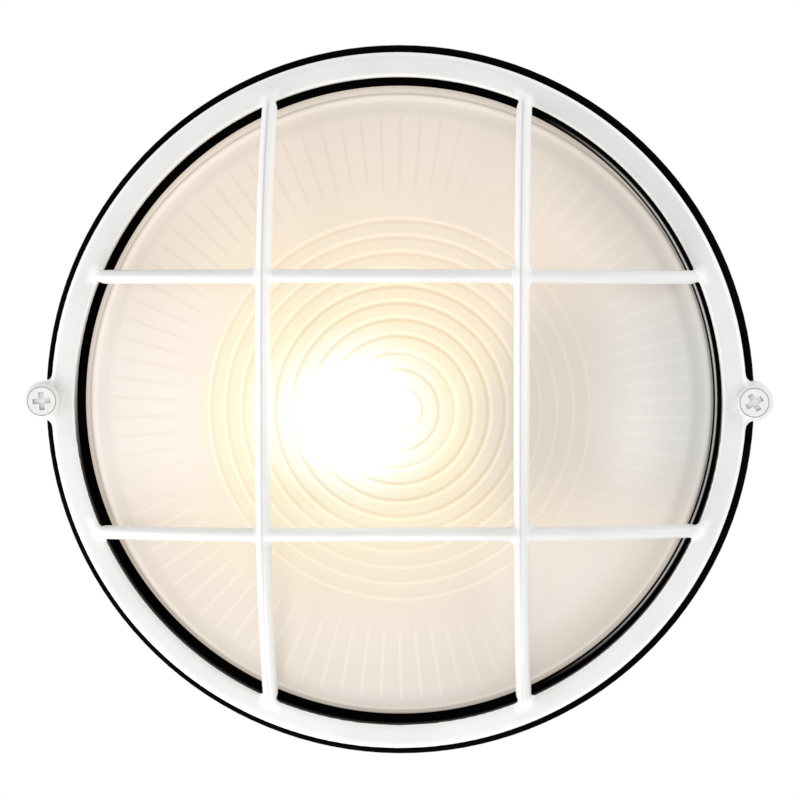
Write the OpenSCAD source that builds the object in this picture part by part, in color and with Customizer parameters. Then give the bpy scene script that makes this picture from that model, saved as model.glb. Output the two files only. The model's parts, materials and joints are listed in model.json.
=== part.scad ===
// Round bulkhead light: die-cast dish, prismatic glass lens and a caged guard held by two ear screws.
// Drawn on the bench with its back on the table, then stood up so that the lens faces -Y and +Z is up.

/* [Lens] */
// Outer radius of the glass wall just above its flange
lens_radius = 89.8; // [84:0.2:95]
// Radius of the outside of the glass dome
dome_radius = 195; // [170:5:230]
// Rounding between the dome and the glass wall
lens_shoulder = 4; // [3:0.5:6]
// Straight height of the glass wall above the flange
lens_wall_height = 2.1; // [1:0.1:4]
// Thickness of the glass
glass_thickness = 4; // [3:0.5:5]
// How far the flange stands out from the glass wall
lens_flange_width = 4.6; // [3.5:0.1:6]
// Thickness of the flange
lens_flange_height = 4; // [3:0.5:6]
// Number of pressed rings on the inside of the dome
ring_count = 12; // [6:1:12]
// Distance from one pressed ring to the next
ring_pitch = 4.6; // [4:0.1:4.8]
// How far a pressed ring stands in from the dome
ring_relief = 0.8; // [0.4:0.1:1.2]
// Radius of the rounding of a pressed ring
ring_round = 1.6; // [1.4:0.1:2]
// Number of radial flutes on the inside of the dome
flute_count = 90; // [48:6:96]
// Radius at which the flutes begin
flute_start = 61.5; // [58:0.5:66]
// Clear band between the flutes and the glass wall
flute_end_gap = 1.5; // [1:0.5:6]
// Width of a flute
flute_width = 1.6; // [1:0.1:2]
// How far a flute stands in from the dome
flute_relief = 0.7; // [0.4:0.1:1]
// How far the pressed pattern sits below the middle of the lens
pattern_drop = 1.8; // [0:0.1:3]
// How far the pressed pattern sits to the right of the middle of the lens
pattern_side = 1.1; // [-2:0.1:2]

/* [Gasket] */
// Thickness of each lip over and under the glass flange
gasket_lip = 2.5; // [2:0.1:3.5]
// Gap between the front lip and the glass wall
lip_clearance = 0.3; // [0.2:0.1:1]
// How far the back lip reaches inside the front one
back_lip_reach = 2; // [0.5:0.5:2.5]
// Rounding of the outer edges of the gasket
gasket_round = 1.6; // [1:0.1:2.5]
// How far the gasket shows outside the guard ring
gasket_show = 2.7; // [1.5:0.1:3.5]

/* [Guard] */
// Width of the black band that shows inside the guard ring
gasket_reveal = 2.3; // [1.5:0.1:3.5]
// Width of the face of the guard ring
guard_ring_width = 6.6; // [6:0.1:8]
// Height of the guard ring
guard_ring_height = 6.5; // [5.5:0.5:12]
// Rounding of the outer front edge of the guard ring
guard_outer_round = 1.4; // [0.8:0.1:2]
// Rounding of the inner front edge of the guard ring
guard_inner_round = 0.9; // [0.5:0.1:1.5]
// Distance from the middle to the ends of each bar
bar_offset = 35.6; // [30:0.1:42]
// How far each bar bows outwards between its ends
bar_bow = 0.6; // [0:0.1:2]
// Width of the two upright bars
upright_bar_width = 4.6; // [4:0.1:5.5]
// Width of the two level bars
level_bar_width = 3.8; // [3.2:0.1:5]
// Depth of a bar from its ridge to its flat back
bar_depth = 5; // [4.5:0.1:6]
// Depth of the rounded front of a bar
bar_front = 3; // [2.6:0.1:4]
// Gap between the top of the dome and the backs of the bars
cage_clearance = 4.5; // [3:0.5:10]
// Power of the curve of a bar: higher keeps the middle flatter and the ends steeper
arch_power = 3; // [2.4:0.1:3.6]
// Length of a bar inside the ring, as a share of its half span
bar_embed = 0.02; // [0.01:0.005:0.03]
// Width of a bar at its ends, as a share of its width in the middle
bar_taper = 0.8; // [0.7:0.05:1]

/* [Ears and cover screws] */
// Distance from the ring's outside to the middle of a cover screw
ear_reach = 2.5; // [2.2:0.05:5]
// Radius of the round end of an ear
ear_radius = 5.5; // [5.2:0.1:7]
// Fillet between an ear and the ring
ear_fillet = 1.8; // [1:0.1:3]
// How far that fillet runs into the ring
ear_blend = 0.25; // [0.15:0.05:0.4]
// How far the round seat of a cover screw stands above the face of the guard ring
seat_height = 0.3; // [0.2:0.05:1]
// Gap between the two ears, filled by the retaining ring
ear_gap = 2; // [1.6:0.1:2.4]
// Height of the ear on the rear housing
housing_ear_height = 16; // [14:1:22]
// Width of the rib under that ear
ear_rib_width = 6; // [4:0.5:9]
// Radius of a cover screw's shank
cover_screw_radius = 2.5; // [2:0.1:2.8]
// Radius of a cover screw's pan head
cover_head_radius = 5.05; // [4.4:0.05:5.4]
// Height of a cover screw's pan head
cover_head_height = 3.2; // [2.6:0.1:4]
// Rounding of the top edge of a cover screw's head
cover_head_round = 1.2; // [0.6:0.1:1.6]
// Length of a cover screw in the rear housing
cover_screw_grip = 11; // [8:1:12]
// Radial clearance round a turning cover screw
screw_clearance = 0.1; // [0.05:0.01:0.1]
// Thickness of the rubber ring that keeps a cover screw in its ear
retaining_ring_thickness = 1.6; // [1.2:0.1:1.6]
// Outer radius of that ring
retaining_ring_radius = 4.4; // [3.8:0.1:5]
// Gap between the gasket and an ear
ear_notch_clearance = 0.3; // [0.2:0.1:0.5]
// Span of a cross recess, as a share of the head's radius
recess_span = 1.1; // [0.9:0.05:1.2]
// Width of an arm of a cross recess, as a share of the head's radius
recess_arm = 0.27; // [0.2:0.01:0.3]
// Depth of a cross recess, as a share of the head's height
recess_depth = 0.55; // [0.4:0.05:0.6]

/* [Rear housing] */
// Depth from the wall to the gasket's seat
housing_depth = 52; // [48:0.5:60]
// Thickness of the cast wall
housing_wall = 3; // [2.5:0.1:4]
// Width of the flange that carries the gasket
flange_width = 9; // [8:0.5:11]
// Thickness of that flange
flange_height = 5; // [4:0.5:8]
// How much narrower the dish is at its back
wall_draft = 6; // [3:0.5:9]
// Rounding of the back edge
back_round = 4; // [2:0.5:6]
// Distance between the two wall-fixing holes
fixing_spacing = 124; // [100:1:130]
// Radius of a wall-fixing hole
fixing_hole_radius = 2.75; // [2.25:0.05:3.25]
// Radius of the cast pad round a hole in the back
pad_radius = 7; // [6:0.5:9]
// Height of a cast pad or boss above the floor of the dish
pad_height = 3; // [2.5:0.1:4]
// Radius of a tapped boss
boss_radius = 4.5; // [4:0.1:6]

/* [Side entries] */
// Radius of the two side entry holes
entry_radius = 10; // [8:0.5:11]
// Height of the side entries above the wall
entry_height = 26; // [20:0.5:28]
// Wall of the boss round a side entry
entry_wall = 3.5; // [3:0.5:4]
// How far an entry boss stands out of the dish
entry_standout = 3.2; // [2:0.1:5]
// Length of an entry boss
entry_length = 11.5; // [10:0.5:14]
// Radius of a blanking plug's head
plug_head_radius = 12.5; // [11.6:0.1:13.4]
// Height of a blanking plug's head
plug_head_height = 3; // [2:0.1:4]
// Length of a blanking plug in its boss
plug_length = 8; // [6:0.5:9]
// Thickness of the seal under a plug's head
plug_seal_thickness = 1.5; // [1:0.1:2]
// Radial clearance of a plug or seal
plug_clearance = 0.1; // [0.05:0.01:0.2]
// Width of the slot in a plug's head
plug_slot = 2; // [1.2:0.1:3]

/* [Cable grommet] */
// Distance of the rear cable entry above the middle
cable_offset = 36; // [34:0.5:40]
// Radius of the hole in the back
cable_hole_radius = 8; // [6:0.5:9]
// Radius of the bore in the grommet
cable_bore_radius = 4.5; // [3:0.1:5]
// How far a grommet flange stands past its groove
grommet_flange = 3.5; // [2.5:0.1:4]
// Thickness of a grommet flange
grommet_flange_height = 1.8; // [1.5:0.1:2]
// Clearance of the grommet in the back
grommet_clearance = 0.1; // [0.05:0.01:0.2]

/* [Bulb] */
// Height of the bulb's axis above the wall
lamp_height = 38; // [36:0.5:42]
// How far the bulb's axis lies below the middle
lamp_drop = 4; // [0:0.5:6]
// Radius of the bulb's globe
globe_radius = 30; // [22:0.5:31]
// Distance from the globe's middle to the cap
globe_to_cap = 51; // [46:0.5:54]
// Radius of the bulb's neck at the cap
neck_radius = 15; // [13.6:0.1:16]
// Radius of the bulb's cap
cap_radius = 13; // [12.8:0.1:13.2]
// Length of the bulb's cap
cap_length = 23; // [20:0.5:24]
// Radius of the cap's end contact
cap_tip_radius = 5; // [4:0.1:6]
// Height of the cap's end contact
cap_tip_height = 4; // [3:0.1:5]

/* [Lampholder] */
// Outer radius of the porcelain body
holder_radius = 19; // [18:0.1:21]
// Thickness of the porcelain behind the socket
holder_base = 8; // [6:0.5:10]
// How far the cap's rim stands out of the porcelain
cap_show = 2; // [1:0.1:3]
// Thickness of the threaded brass shell
shell_thickness = 0.7; // [0.5:0.1:1]
// Clearance between cap, shell and porcelain
socket_clearance = 0.3; // [0.2:0.05:0.4]
// How far the shell stops short of the porcelain's front
shell_inset = 1; // [0.5:0.1:1.5]
// Porcelain left between a holder screw's hole and the socket
holder_web = 1; // [0.8:0.1:1.5]
// Radius of the hole in the shell's floor
shell_hole_radius = 7; // [6.6:0.1:8]
// Thickness of the centre contact's strip
contact_thickness = 0.6; // [0.4:0.1:0.8]
// Width of the centre contact's strip
contact_width = 6; // [4:0.5:7]
// Length of the centre contact's foot
contact_length = 11; // [9:0.5:11.5]
// Gap between the centre contact and the bulb's tip
contact_gap = 0.1; // [0.05:0.05:0.2]
// Height of the bulb's tip above the porcelain
contact_rise = 1.9; // [1.6:0.1:2.4]
// Thickness of the folded bracket
bracket_thickness = 1.5; // [1:0.1:2]
// Width of the folded bracket
bracket_width = 32; // [26:1:34]
// Length of the bracket's foot
bracket_foot = 27; // [24:0.5:30]
// Inside radius of the bracket's fold
bracket_fold = 1.5; // [1:0.1:2.5]
// Gap between the bracket and the wall of the dish
bracket_margin = 3; // [3:0.1:6]
// Distance between the two screws of each bracket joint
bracket_screw_spacing = 22; // [18:0.5:24]
// Radius of the small machine screws
small_screw_radius = 2; // [1.5:0.1:2.2]
// Head radius of the small machine screws
small_head_radius = 3.8; // [3.2:0.1:4.2]
// Head height of the small machine screws
small_head_height = 2.4; // [2:0.1:3]
// Radial clearance of the small machine screws
small_clearance = 0.15; // [0.1:0.01:0.25]

/* [Terminal block and earth] */
// Width of the terminal block
block_width = 26; // [24:0.5:30]
// Length of the terminal block along its brass tubes
block_length = 18; // [16:0.5:22]
// Height of the terminal block
block_height = 14; // [12:0.5:16]
// Distance between the two brass tubes
tube_spacing = 16; // [14.5:0.5:18]
// Outer radius of a brass tube
tube_radius = 2.7; // [2.2:0.1:3]
// Bore of a brass tube
tube_bore = 1.6; // [1.2:0.1:1.9]
// Height of a brass tube above the block's foot
tube_height = 6; // [5:0.1:7]
// How far a brass tube stops short of the block's ends
tube_inset = 1; // [0.5:0.1:2]
// Radius of a terminal screw
terminal_screw_radius = 1.4; // [1.1:0.1:1.6]
// Distance between the two terminal screws of a tube
terminal_screw_spacing = 9; // [7:0.5:10]
// Inward distance of the terminal block from the dish wall
block_margin = 21; // [20:0.5:26]
// Inward distance of the earth screw from the dish wall
earth_margin = 22; // [16:0.5:26]
// Direction of the terminal block from the middle
block_angle = 120; // [112:1:126]
// Direction of the earth screw from the middle
earth_angle = 62; // [50:1:68]
// Outer radius of the earth screw's cup washer
washer_radius = 5; // [4.4:0.1:6]
// Thickness of the cup washer
washer_thickness = 1; // [0.6:0.1:1.4]

/* [Hidden] */
$fn = 96;
fine = 120;
bead_fine = 32;
cut = 1;
slant_share = 1.6;

gasket_back = housing_depth;
lens_back = gasket_back + gasket_lip;
lens_flange_front = lens_back + lens_flange_height;
guard_back = lens_flange_front + gasket_lip;
guard_front = guard_back + guard_ring_height;

lens_flange_radius = lens_radius + lens_flange_width;
front_lip_radius = lens_radius + lip_clearance;
guard_inner_radius = front_lip_radius + gasket_reveal;
guard_outer_radius = guard_inner_radius + guard_ring_width;
guard_middle_radius = (guard_inner_radius + guard_outer_radius) / 2;
gasket_radius = guard_outer_radius + gasket_show;
groove_depth = lens_flange_radius + lip_clearance - front_lip_radius;
screw_offset = guard_outer_radius + ear_reach;

shoulder_radius = lens_radius - lens_shoulder;
shoulder_level = lens_flange_front + lens_wall_height;
shoulder_chord = sqrt(pow(dome_radius - lens_shoulder, 2) - pow(shoulder_radius, 2));
dome_centre = shoulder_level - shoulder_chord;
dome_top = dome_centre + dome_radius;
inner_dome_radius = dome_radius - glass_thickness;
lens_bore_radius = lens_radius - glass_thickness - flute_end_gap;
flute_end = lens_radius - glass_thickness;
pattern_tilt = asin(pattern_drop / inner_dome_radius);
pattern_turn = asin(pattern_side / inner_dome_radius);

ridge_top = dome_top + cage_clearance + bar_depth;
arch_rise = ridge_top - guard_front;
arch_half_span = sqrt(pow(guard_middle_radius, 2) - pow(bar_offset, 2));
bar_stations = 22;
taper_power = 4;
flank_steps = 3;

rim_radius = guard_outer_radius - flange_width;
back_radius = rim_radius - wall_draft;
floor_radius = back_radius - housing_wall;
flange_back = housing_depth - flange_height;
boss_top = housing_wall + pad_height;
ear_foot = housing_depth - housing_ear_height;
ear_rib_start = back_radius + wall_draft * ear_foot / flange_back - housing_wall / 2;
entry_face = back_radius + wall_draft * entry_height / flange_back + entry_standout;
guard_ear_back = housing_depth + ear_gap;
screw_seat = guard_front + seat_height;
retaining_ring_back = housing_depth + (ear_gap - retaining_ring_thickness) / 2;

grommet_groove = housing_wall + pad_height - grommet_flange_height;
grommet_radius = cable_hole_radius + grommet_flange;

bracket_half_reach = bracket_width / 2 + lamp_drop;
bracket_back = sqrt(pow(floor_radius, 2) - pow(bracket_half_reach, 2)) - bracket_margin;
holder_back = bracket_back - bracket_thickness;
socket_floor = holder_back - holder_base;
bulb_tip = socket_floor - contact_rise;
cap_end = bulb_tip - cap_tip_height;
cap_start = cap_end - cap_length;
globe_centre = cap_start - globe_to_cap;
holder_front = cap_start + cap_show;
shell_radius = cap_radius + socket_clearance + shell_thickness;
socket_radius = shell_radius + socket_clearance;
neck_distance = sqrt(pow(globe_to_cap, 2) + pow(neck_radius, 2));
neck_angle = atan2(globe_to_cap, neck_radius) - acos(globe_radius / neck_distance);
bracket_top = lamp_height + holder_radius;
foot_screw_x = bracket_back - bracket_foot + small_head_radius + bracket_thickness;

block_centre = (floor_radius - block_margin) * [cos(block_angle), sin(block_angle)];
earth_place = (floor_radius - earth_margin) * [cos(earth_angle), sin(earth_angle)];
block_top = boss_top + block_height;
tube_level = boss_top + tube_height;

// Stands the bench drawing up against the wall
module stood_up() rotate([90, 0, 0]) children();

// Repeats a shape at the left and right ears
module at_both_ears() for (side = [-1, 1]) translate([side * screw_offset, 0, 0]) children();

// Repeats a shape on the upper and lower side entries, with its z axis pointing out of the dish
module at_both_entries() {
    for (turn = [-90, 90]) {
        translate([0, 0, entry_height]) rotate([turn, 0, 0]) children();
    }
}

// Lays a shape along the bulb's axis, with its z axis along +X
module on_lamp_axis() translate([0, -lamp_drop, lamp_height]) rotate([0, 90, 0]) children();

// Outline of a band whose two front edges are rounded
module rounded_band(inner, outer, back, front, inner_round, outer_round) {
    polygon([
        [inner, back], [outer, back], [outer, front - outer_round], [outer - outer_round, front],
        [inner + inner_round, front], [inner, front - inner_round]
    ]);
    translate([outer - outer_round, front - outer_round]) circle(outer_round);
    translate([inner + inner_round, front - inner_round]) circle(inner_round);
}

// Outline of one ear, from inside the ring to its round end and with a fillet on each flank
module ear_outline(ring_radius) {
    blend_radius = ring_radius - ear_blend;
    fillet_y = ear_radius + ear_fillet;
    fillet_x = sqrt(pow(blend_radius + ear_fillet, 2) - pow(fillet_y, 2));
    touch = blend_radius / (blend_radius + ear_fillet);
    root = ring_radius - ear_fillet;
    translate([screw_offset, 0]) circle(ear_radius);
    translate([root, -ear_radius]) square([screw_offset - root, 2 * ear_radius]);
    for (flank = [0, 1]) mirror([0, flank]) difference() {
        polygon([[root, 0], [fillet_x, 0], [fillet_x, fillet_y], [fillet_x * touch, fillet_y * touch]]);
        translate([fillet_x, fillet_y]) circle(ear_fillet);
    }
}

// Both ears as blocks between two levels
module ears(ring_radius, back, front) {
    for (turn = [0, 180]) {
        translate([0, 0, back]) rotate([0, 0, turn]) linear_extrude(front - back) ear_outline(ring_radius);
    }
}

// Pan-head screw pointing down, with the underside of its head at the origin and a cross recess
module pan_screw(head_radius, head_height, head_round, shank_radius, shank_length) {
    arm = recess_arm * head_radius;
    span = recess_span * head_radius;
    depth = recess_depth * head_height;
    difference() {
        union() {
            rotate_extrude() {
                polygon([
                    [0, 0], [head_radius, 0], [head_radius, head_height - head_round],
                    [head_radius - head_round, head_height], [0, head_height]
                ]);
                translate([head_radius - head_round, head_height - head_round]) circle(head_round);
            }
            translate([0, 0, -shank_length]) cylinder(r = shank_radius, h = shank_length + head_height / 4);
        }
        for (turn = [0, 90]) rotate([0, 0, turn]) {
            translate([-span / 2, -arm / 2, head_height - depth]) cube([span, arm, depth + cut]);
        }
    }
}

// Small machine screw with a head rounded by half its height
module small_screw(length) {
    pan_screw(small_head_radius, small_head_height, small_head_height / 2, small_screw_radius, length);
}

// Profile of the dish's wall, floor and flange
module dish_profile() {
    difference() {
        union() {
            polygon([
                [0, 0], [back_radius - back_round, 0], [back_radius, back_round], [rim_radius, flange_back],
                [guard_outer_radius, flange_back], [guard_outer_radius, housing_depth], [0, housing_depth]
            ]);
            translate([back_radius - back_round, back_round]) circle(back_round);
        }
        polygon([
            [-cut, housing_wall], [floor_radius, housing_wall], [rim_radius - housing_wall, flange_back],
            [rim_radius - housing_wall, housing_depth + cut], [-cut, housing_depth + cut]
        ]);
        translate([-back_round, -cut]) square([back_round, housing_depth + 2 * cut]);
    }
}

// Tapped boss or cast pad on the floor of the dish
module floor_boss(radius) {
    translate([0, 0, housing_wall / 2]) cylinder(r = radius, h = boss_top - housing_wall / 2);
}

// Places of the bracket's two foot screws
module at_foot_screws() {
    for (side = [-1, 1]) {
        translate([foot_screw_x, -lamp_drop + side * bracket_screw_spacing / 2, 0]) children();
    }
}

// Places of the two wall-fixing holes
module at_fixings() for (side = [-1, 1]) translate([0, side * fixing_spacing / 2, 0]) children();

// Blind hole for a small screw, from the top of its boss to inside the back wall
module tapped_hole() {
    translate([0, 0, housing_wall / 2]) cylinder(r = small_screw_radius + small_clearance, h = boss_top);
}

module rear_housing() color("white") stood_up() difference() {
    union() {
        rotate_extrude($fn = fine) dish_profile();
        ears(guard_outer_radius, ear_foot, housing_depth);
        for (turn = [0, 180]) rotate([0, 0, turn]) {
            translate([ear_rib_start, -ear_rib_width / 2, ear_foot]) {
                cube([screw_offset - ear_rib_start, ear_rib_width, housing_ear_height - flange_height / 2]);
            }
        }
        at_both_entries() translate([0, 0, entry_face - entry_length]) {
            cylinder(r = entry_radius + entry_wall, h = entry_length);
        }
        at_fixings() floor_boss(pad_radius);
        translate([0, cable_offset, 0]) floor_boss(grommet_radius + grommet_flange_height);
        at_foot_screws() floor_boss(boss_radius);
        translate(block_centre) floor_boss(boss_radius);
        translate(earth_place) floor_boss(boss_radius);
    }
    at_both_ears() translate([0, 0, housing_depth - cover_screw_grip - cut]) {
        cylinder(r = cover_screw_radius + screw_clearance, h = cover_screw_grip + 2 * cut);
    }
    at_both_entries() translate([0, 0, entry_face - entry_length - cut]) {
        cylinder(r = entry_radius, h = entry_length + 2 * cut);
    }
    at_fixings() translate([0, 0, -cut]) cylinder(r = fixing_hole_radius, h = boss_top + 2 * cut);
    translate([0, cable_offset, -cut]) cylinder(r = cable_hole_radius, h = boss_top + 2 * cut);
    translate([0, cable_offset, -cut]) {
        cylinder(r = grommet_radius + grommet_clearance, h = grommet_flange_height + cut);
    }
    at_foot_screws() tapped_hole();
    translate(block_centre) tapped_hole();
    translate(earth_place) tapped_hole();
}

module entry_plugs() color("dimgray") stood_up() at_both_entries() difference() {
    union() {
        translate([0, 0, entry_face - plug_length]) {
            cylinder(r = entry_radius - plug_clearance, h = plug_length + plug_seal_thickness);
        }
        translate([0, 0, entry_face + plug_seal_thickness]) {
            cylinder(r = plug_head_radius, h = plug_head_height);
        }
    }
    translate([-plug_head_radius, -plug_slot / 2, entry_face + plug_seal_thickness + plug_head_height / 2]) {
        cube([2 * plug_head_radius, plug_slot, plug_head_height]);
    }
}

module plug_seals() color("black") stood_up() at_both_entries() translate([0, 0, entry_face]) difference() {
    cylinder(r = plug_head_radius, h = plug_seal_thickness);
    translate([0, 0, -cut]) cylinder(r = entry_radius, h = plug_seal_thickness + 2 * cut);
}

module cable_grommet() color("black") stood_up() translate([0, cable_offset, 0]) rotate_extrude() {
    groove_radius = cable_hole_radius - grommet_clearance;
    inner_flange = grommet_flange_height + grommet_groove;
    polygon([
        [cable_bore_radius, 0], [grommet_radius, 0], [grommet_radius, grommet_flange_height],
        [groove_radius, grommet_flange_height], [groove_radius, inner_flange], [grommet_radius, inner_flange],
        [groove_radius, inner_flange + grommet_flange_height],
        [cable_bore_radius, inner_flange + grommet_flange_height]
    ]);
}

// Side view of the folded strip, with its fold rounded inside and outside
module bracket_profile() {
    outer_fold = bracket_fold + bracket_thickness;
    fold_x = bracket_back - outer_fold;
    fold_z = boss_top + outer_fold;
    translate([bracket_back - bracket_foot, boss_top]) square([bracket_foot - outer_fold, bracket_thickness]);
    translate([holder_back, fold_z]) square([bracket_thickness, bracket_top - fold_z]);
    intersection() {
        translate([fold_x, boss_top]) square(outer_fold);
        difference() {
            translate([fold_x, fold_z]) circle(outer_fold);
            translate([fold_x, fold_z]) circle(bracket_fold);
        }
    }
}

// Places of the two screws that hold the porcelain, on the bulb's axis
module at_holder_screws() for (side = [-1, 1]) translate([0, side * bracket_screw_spacing / 2, 0]) children();

module lampholder_bracket() color("silver") stood_up() difference() {
    translate([0, bracket_width / 2 - lamp_drop, 0]) rotate([90, 0, 0]) {
        linear_extrude(bracket_width) bracket_profile();
    }
    at_foot_screws() cylinder(r = small_screw_radius + small_clearance, h = boss_top + 2 * bracket_thickness);
    on_lamp_axis() at_holder_screws() translate([0, 0, holder_back - cut]) {
        cylinder(r = small_screw_radius + small_clearance, h = bracket_thickness + 2 * cut);
    }
}

module bracket_screws() color("silver") stood_up() at_foot_screws() {
    translate([0, 0, boss_top + bracket_thickness]) small_screw(pad_height + bracket_thickness);
}

module lampholder_body() color("ivory") stood_up() on_lamp_axis() difference() {
    rotate_extrude() rounded_band(0, holder_radius, holder_front, holder_back, 0, bracket_fold);
    translate([0, 0, holder_front - cut]) cylinder(r = socket_radius, h = socket_floor - holder_front + cut);
    at_holder_screws() translate([0, 0, socket_floor + holder_web]) {
        cylinder(r = small_screw_radius + small_clearance, h = holder_base);
    }
}

module lampholder_screws() color("silver") stood_up() on_lamp_axis() at_holder_screws() {
    translate([0, 0, bracket_back]) small_screw(bracket_thickness + holder_base - 2 * holder_web);
}

module lampholder_shell() color("gold") stood_up() on_lamp_axis() difference() {
    translate([0, 0, holder_front + shell_inset]) {
        cylinder(r = shell_radius, h = socket_floor - holder_front - shell_inset);
    }
    translate([0, 0, holder_front]) {
        cylinder(r = shell_radius - shell_thickness, h = socket_floor - shell_thickness - holder_front);
    }
    cylinder(r = shell_hole_radius, h = socket_floor + cut);
}

module centre_contact() color("gold") stood_up() on_lamp_axis() {
    half = contact_length / 2;
    tongue = cap_tip_radius / 2;
    tip = contact_rise - contact_gap;
    slant = slant_share * contact_thickness;
    translate([0, contact_width / 2, socket_floor]) rotate([90, 0, 0]) linear_extrude(contact_width) polygon([
        [-half, 0], [half, 0], [half, -slant], [tongue, -tip], [-tongue, -tip],
        [-tongue, contact_thickness - tip], [tongue - contact_thickness / 2, contact_thickness - tip],
        [half - slant, -contact_thickness], [-half, -contact_thickness]
    ]);
}

// Half outline of the bulb: globe, tangent neck, cap and end contact
module bulb_profile() {
    intersection() {
        translate([0, globe_centre]) circle(globe_radius);
        translate([0, globe_centre - globe_radius]) square([globe_radius, 2 * globe_radius]);
    }
    polygon([
        [0, globe_centre],
        [globe_radius * cos(neck_angle), globe_centre + globe_radius * sin(neck_angle)],
        [neck_radius, cap_start], [cap_radius, cap_start], [cap_radius, cap_end],
        [cap_tip_radius, cap_end + cap_tip_height / 2], [cap_tip_radius, bulb_tip], [0, bulb_tip]
    ]);
}

module bulb() color("lightyellow") stood_up() on_lamp_axis() rotate_extrude() bulb_profile();

// Places of the two brass tubes in the terminal block
module at_tubes() {
    for (side = [-1, 1]) {
        translate([block_centre[0] + side * tube_spacing / 2, block_centre[1], 0]) children();
    }
}

// Places of the four terminal screws
module at_terminal_screws() at_tubes() for (end = [-1, 1]) {
    translate([0, end * terminal_screw_spacing / 2, 0]) children();
}

module terminal_block() color("ivory") stood_up() difference() {
    translate([block_centre[0] - block_width / 2, block_centre[1] - block_length / 2, boss_top]) {
        cube([block_width, block_length, block_height]);
    }
    at_tubes() translate([0, block_length, tube_level]) rotate([90, 0, 0]) {
        cylinder(r = tube_radius + small_clearance, h = 2 * block_length);
    }
    at_terminal_screws() translate([0, 0, tube_level]) {
        cylinder(r = terminal_screw_radius + 2 * small_clearance, h = block_height);
    }
    translate(block_centre) cylinder(r = small_screw_radius + small_clearance, h = block_top + cut);
    translate([block_centre[0], block_centre[1], boss_top + block_height / 2]) {
        cylinder(r = small_head_radius + small_clearance, h = block_height);
    }
}

module terminal_tubes() color("gold") stood_up() at_tubes() difference() {
    length = block_length - 2 * tube_inset;
    translate([0, length / 2, tube_level]) rotate([90, 0, 0]) difference() {
        cylinder(r = tube_radius, h = length);
        translate([0, 0, -cut]) cylinder(r = tube_bore, h = length + 2 * cut);
    }
    for (end = [-1, 1]) translate([0, end * terminal_screw_spacing / 2, tube_level]) {
        cylinder(r = terminal_screw_radius + small_clearance, h = block_height);
    }
}

module terminal_screws() color("silver") stood_up() at_terminal_screws() difference() {
    translate([0, 0, tube_level + tube_bore / 2]) {
        cylinder(r = terminal_screw_radius, h = block_height - tube_height - tube_bore);
    }
    translate([-terminal_screw_radius, -terminal_screw_radius / 4, block_top - tube_bore]) {
        cube([2 * terminal_screw_radius, terminal_screw_radius / 2, tube_bore]);
    }
}

module block_screw() color("silver") stood_up() {
    translate([block_centre[0], block_centre[1], boss_top + block_height / 2]) {
        small_screw(block_height / 2 + pad_height);
    }
}

module earth_screw() color("gold") stood_up() {
    translate([earth_place[0], earth_place[1], boss_top + washer_thickness]) {
        small_screw(washer_thickness + pad_height);
    }
}

module earth_washer() color("gold") stood_up() {
    translate([earth_place[0], earth_place[1], boss_top]) difference() {
        cylinder(r = washer_radius, h = washer_thickness);
        translate([0, 0, -cut]) {
            cylinder(r = small_screw_radius + small_clearance, h = washer_thickness + 2 * cut);
        }
    }
}

module gasket() color("black") stood_up() difference() {
    rotate_extrude($fn = fine) difference() {
        union() {
            translate([front_lip_radius - back_lip_reach, gasket_back]) {
                square([lens_flange_width, gasket_lip]);
            }
            translate([front_lip_radius, gasket_back + gasket_round]) {
                square([gasket_radius - front_lip_radius, guard_back - gasket_back - 2 * gasket_round]);
            }
            translate([front_lip_radius, gasket_back]) {
                square([gasket_radius - gasket_round - front_lip_radius, guard_back - gasket_back]);
            }
            for (level = [gasket_back + gasket_round, guard_back - gasket_round]) {
                translate([gasket_radius - gasket_round, level]) circle(gasket_round);
            }
        }
        translate([front_lip_radius - lens_flange_width, lens_back]) {
            square([groove_depth + lens_flange_width, lens_flange_height]);
        }
    }
    at_both_ears() translate([0, 0, gasket_back - cut]) {
        cylinder(r = ear_radius + ear_notch_clearance, h = guard_back - gasket_back + 2 * cut);
    }
}

// Outer profile of the pressed glass: flange, wall, shoulder and spherical dome
module lens_profile() {
    shoulder_edge = shoulder_radius * dome_radius / (dome_radius - lens_shoulder);
    translate([0, lens_back]) square([lens_flange_radius, lens_flange_height]);
    translate([0, lens_back]) square([lens_radius, shoulder_level - lens_back]);
    translate([shoulder_radius, shoulder_level]) circle(lens_shoulder);
    intersection() {
        translate([0, dome_centre]) circle(dome_radius, $fn = 2 * fine);
        translate([0, lens_back]) square([shoulder_edge, dome_top - lens_back + cut]);
    }
}

// Profile of the plunger that presses the dome's inside, grooved for the rings and drawn about its centre
module plunger_profile() difference() {
    intersection() {
        circle(inner_dome_radius, $fn = 2 * fine);
        square([lens_radius, dome_radius]);
    }
    for (ring = [0 : ring_count - 1]) {
        angle = asin((ring + 0.5) * ring_pitch / inner_dome_radius);
        groove_radius = inner_dome_radius + ring_round - ring_relief;
        translate(groove_radius * [sin(angle), cos(angle)]) circle(ring_round, $fn = bead_fine);
    }
}

// Section of the band that the flutes are cut from, drawn about the dome's centre
module flute_band() intersection() {
    difference() {
        circle(inner_dome_radius + flute_relief, $fn = 2 * fine);
        circle(inner_dome_radius - flute_relief, $fn = 2 * fine);
    }
    translate([flute_start, 0]) square([flute_end - flute_start, dome_radius]);
}

// Radial flutes pressed on the inside of the dome, drawn about the dome's centre
module flutes() intersection() {
    rotate_extrude($fn = fine) flute_band();
    linear_extrude(dome_radius) for (flute = [0 : flute_count - 1]) {
        rotate(flute * 360 / flute_count) translate([0, -flute_width / 2]) square([lens_radius, flute_width]);
    }
}

// Turns the pressed pattern about the dome's centre, which slides it over the inside of the dome
module off_centre() translate([0, 0, dome_centre]) rotate([pattern_tilt, pattern_turn, 0]) children();

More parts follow.
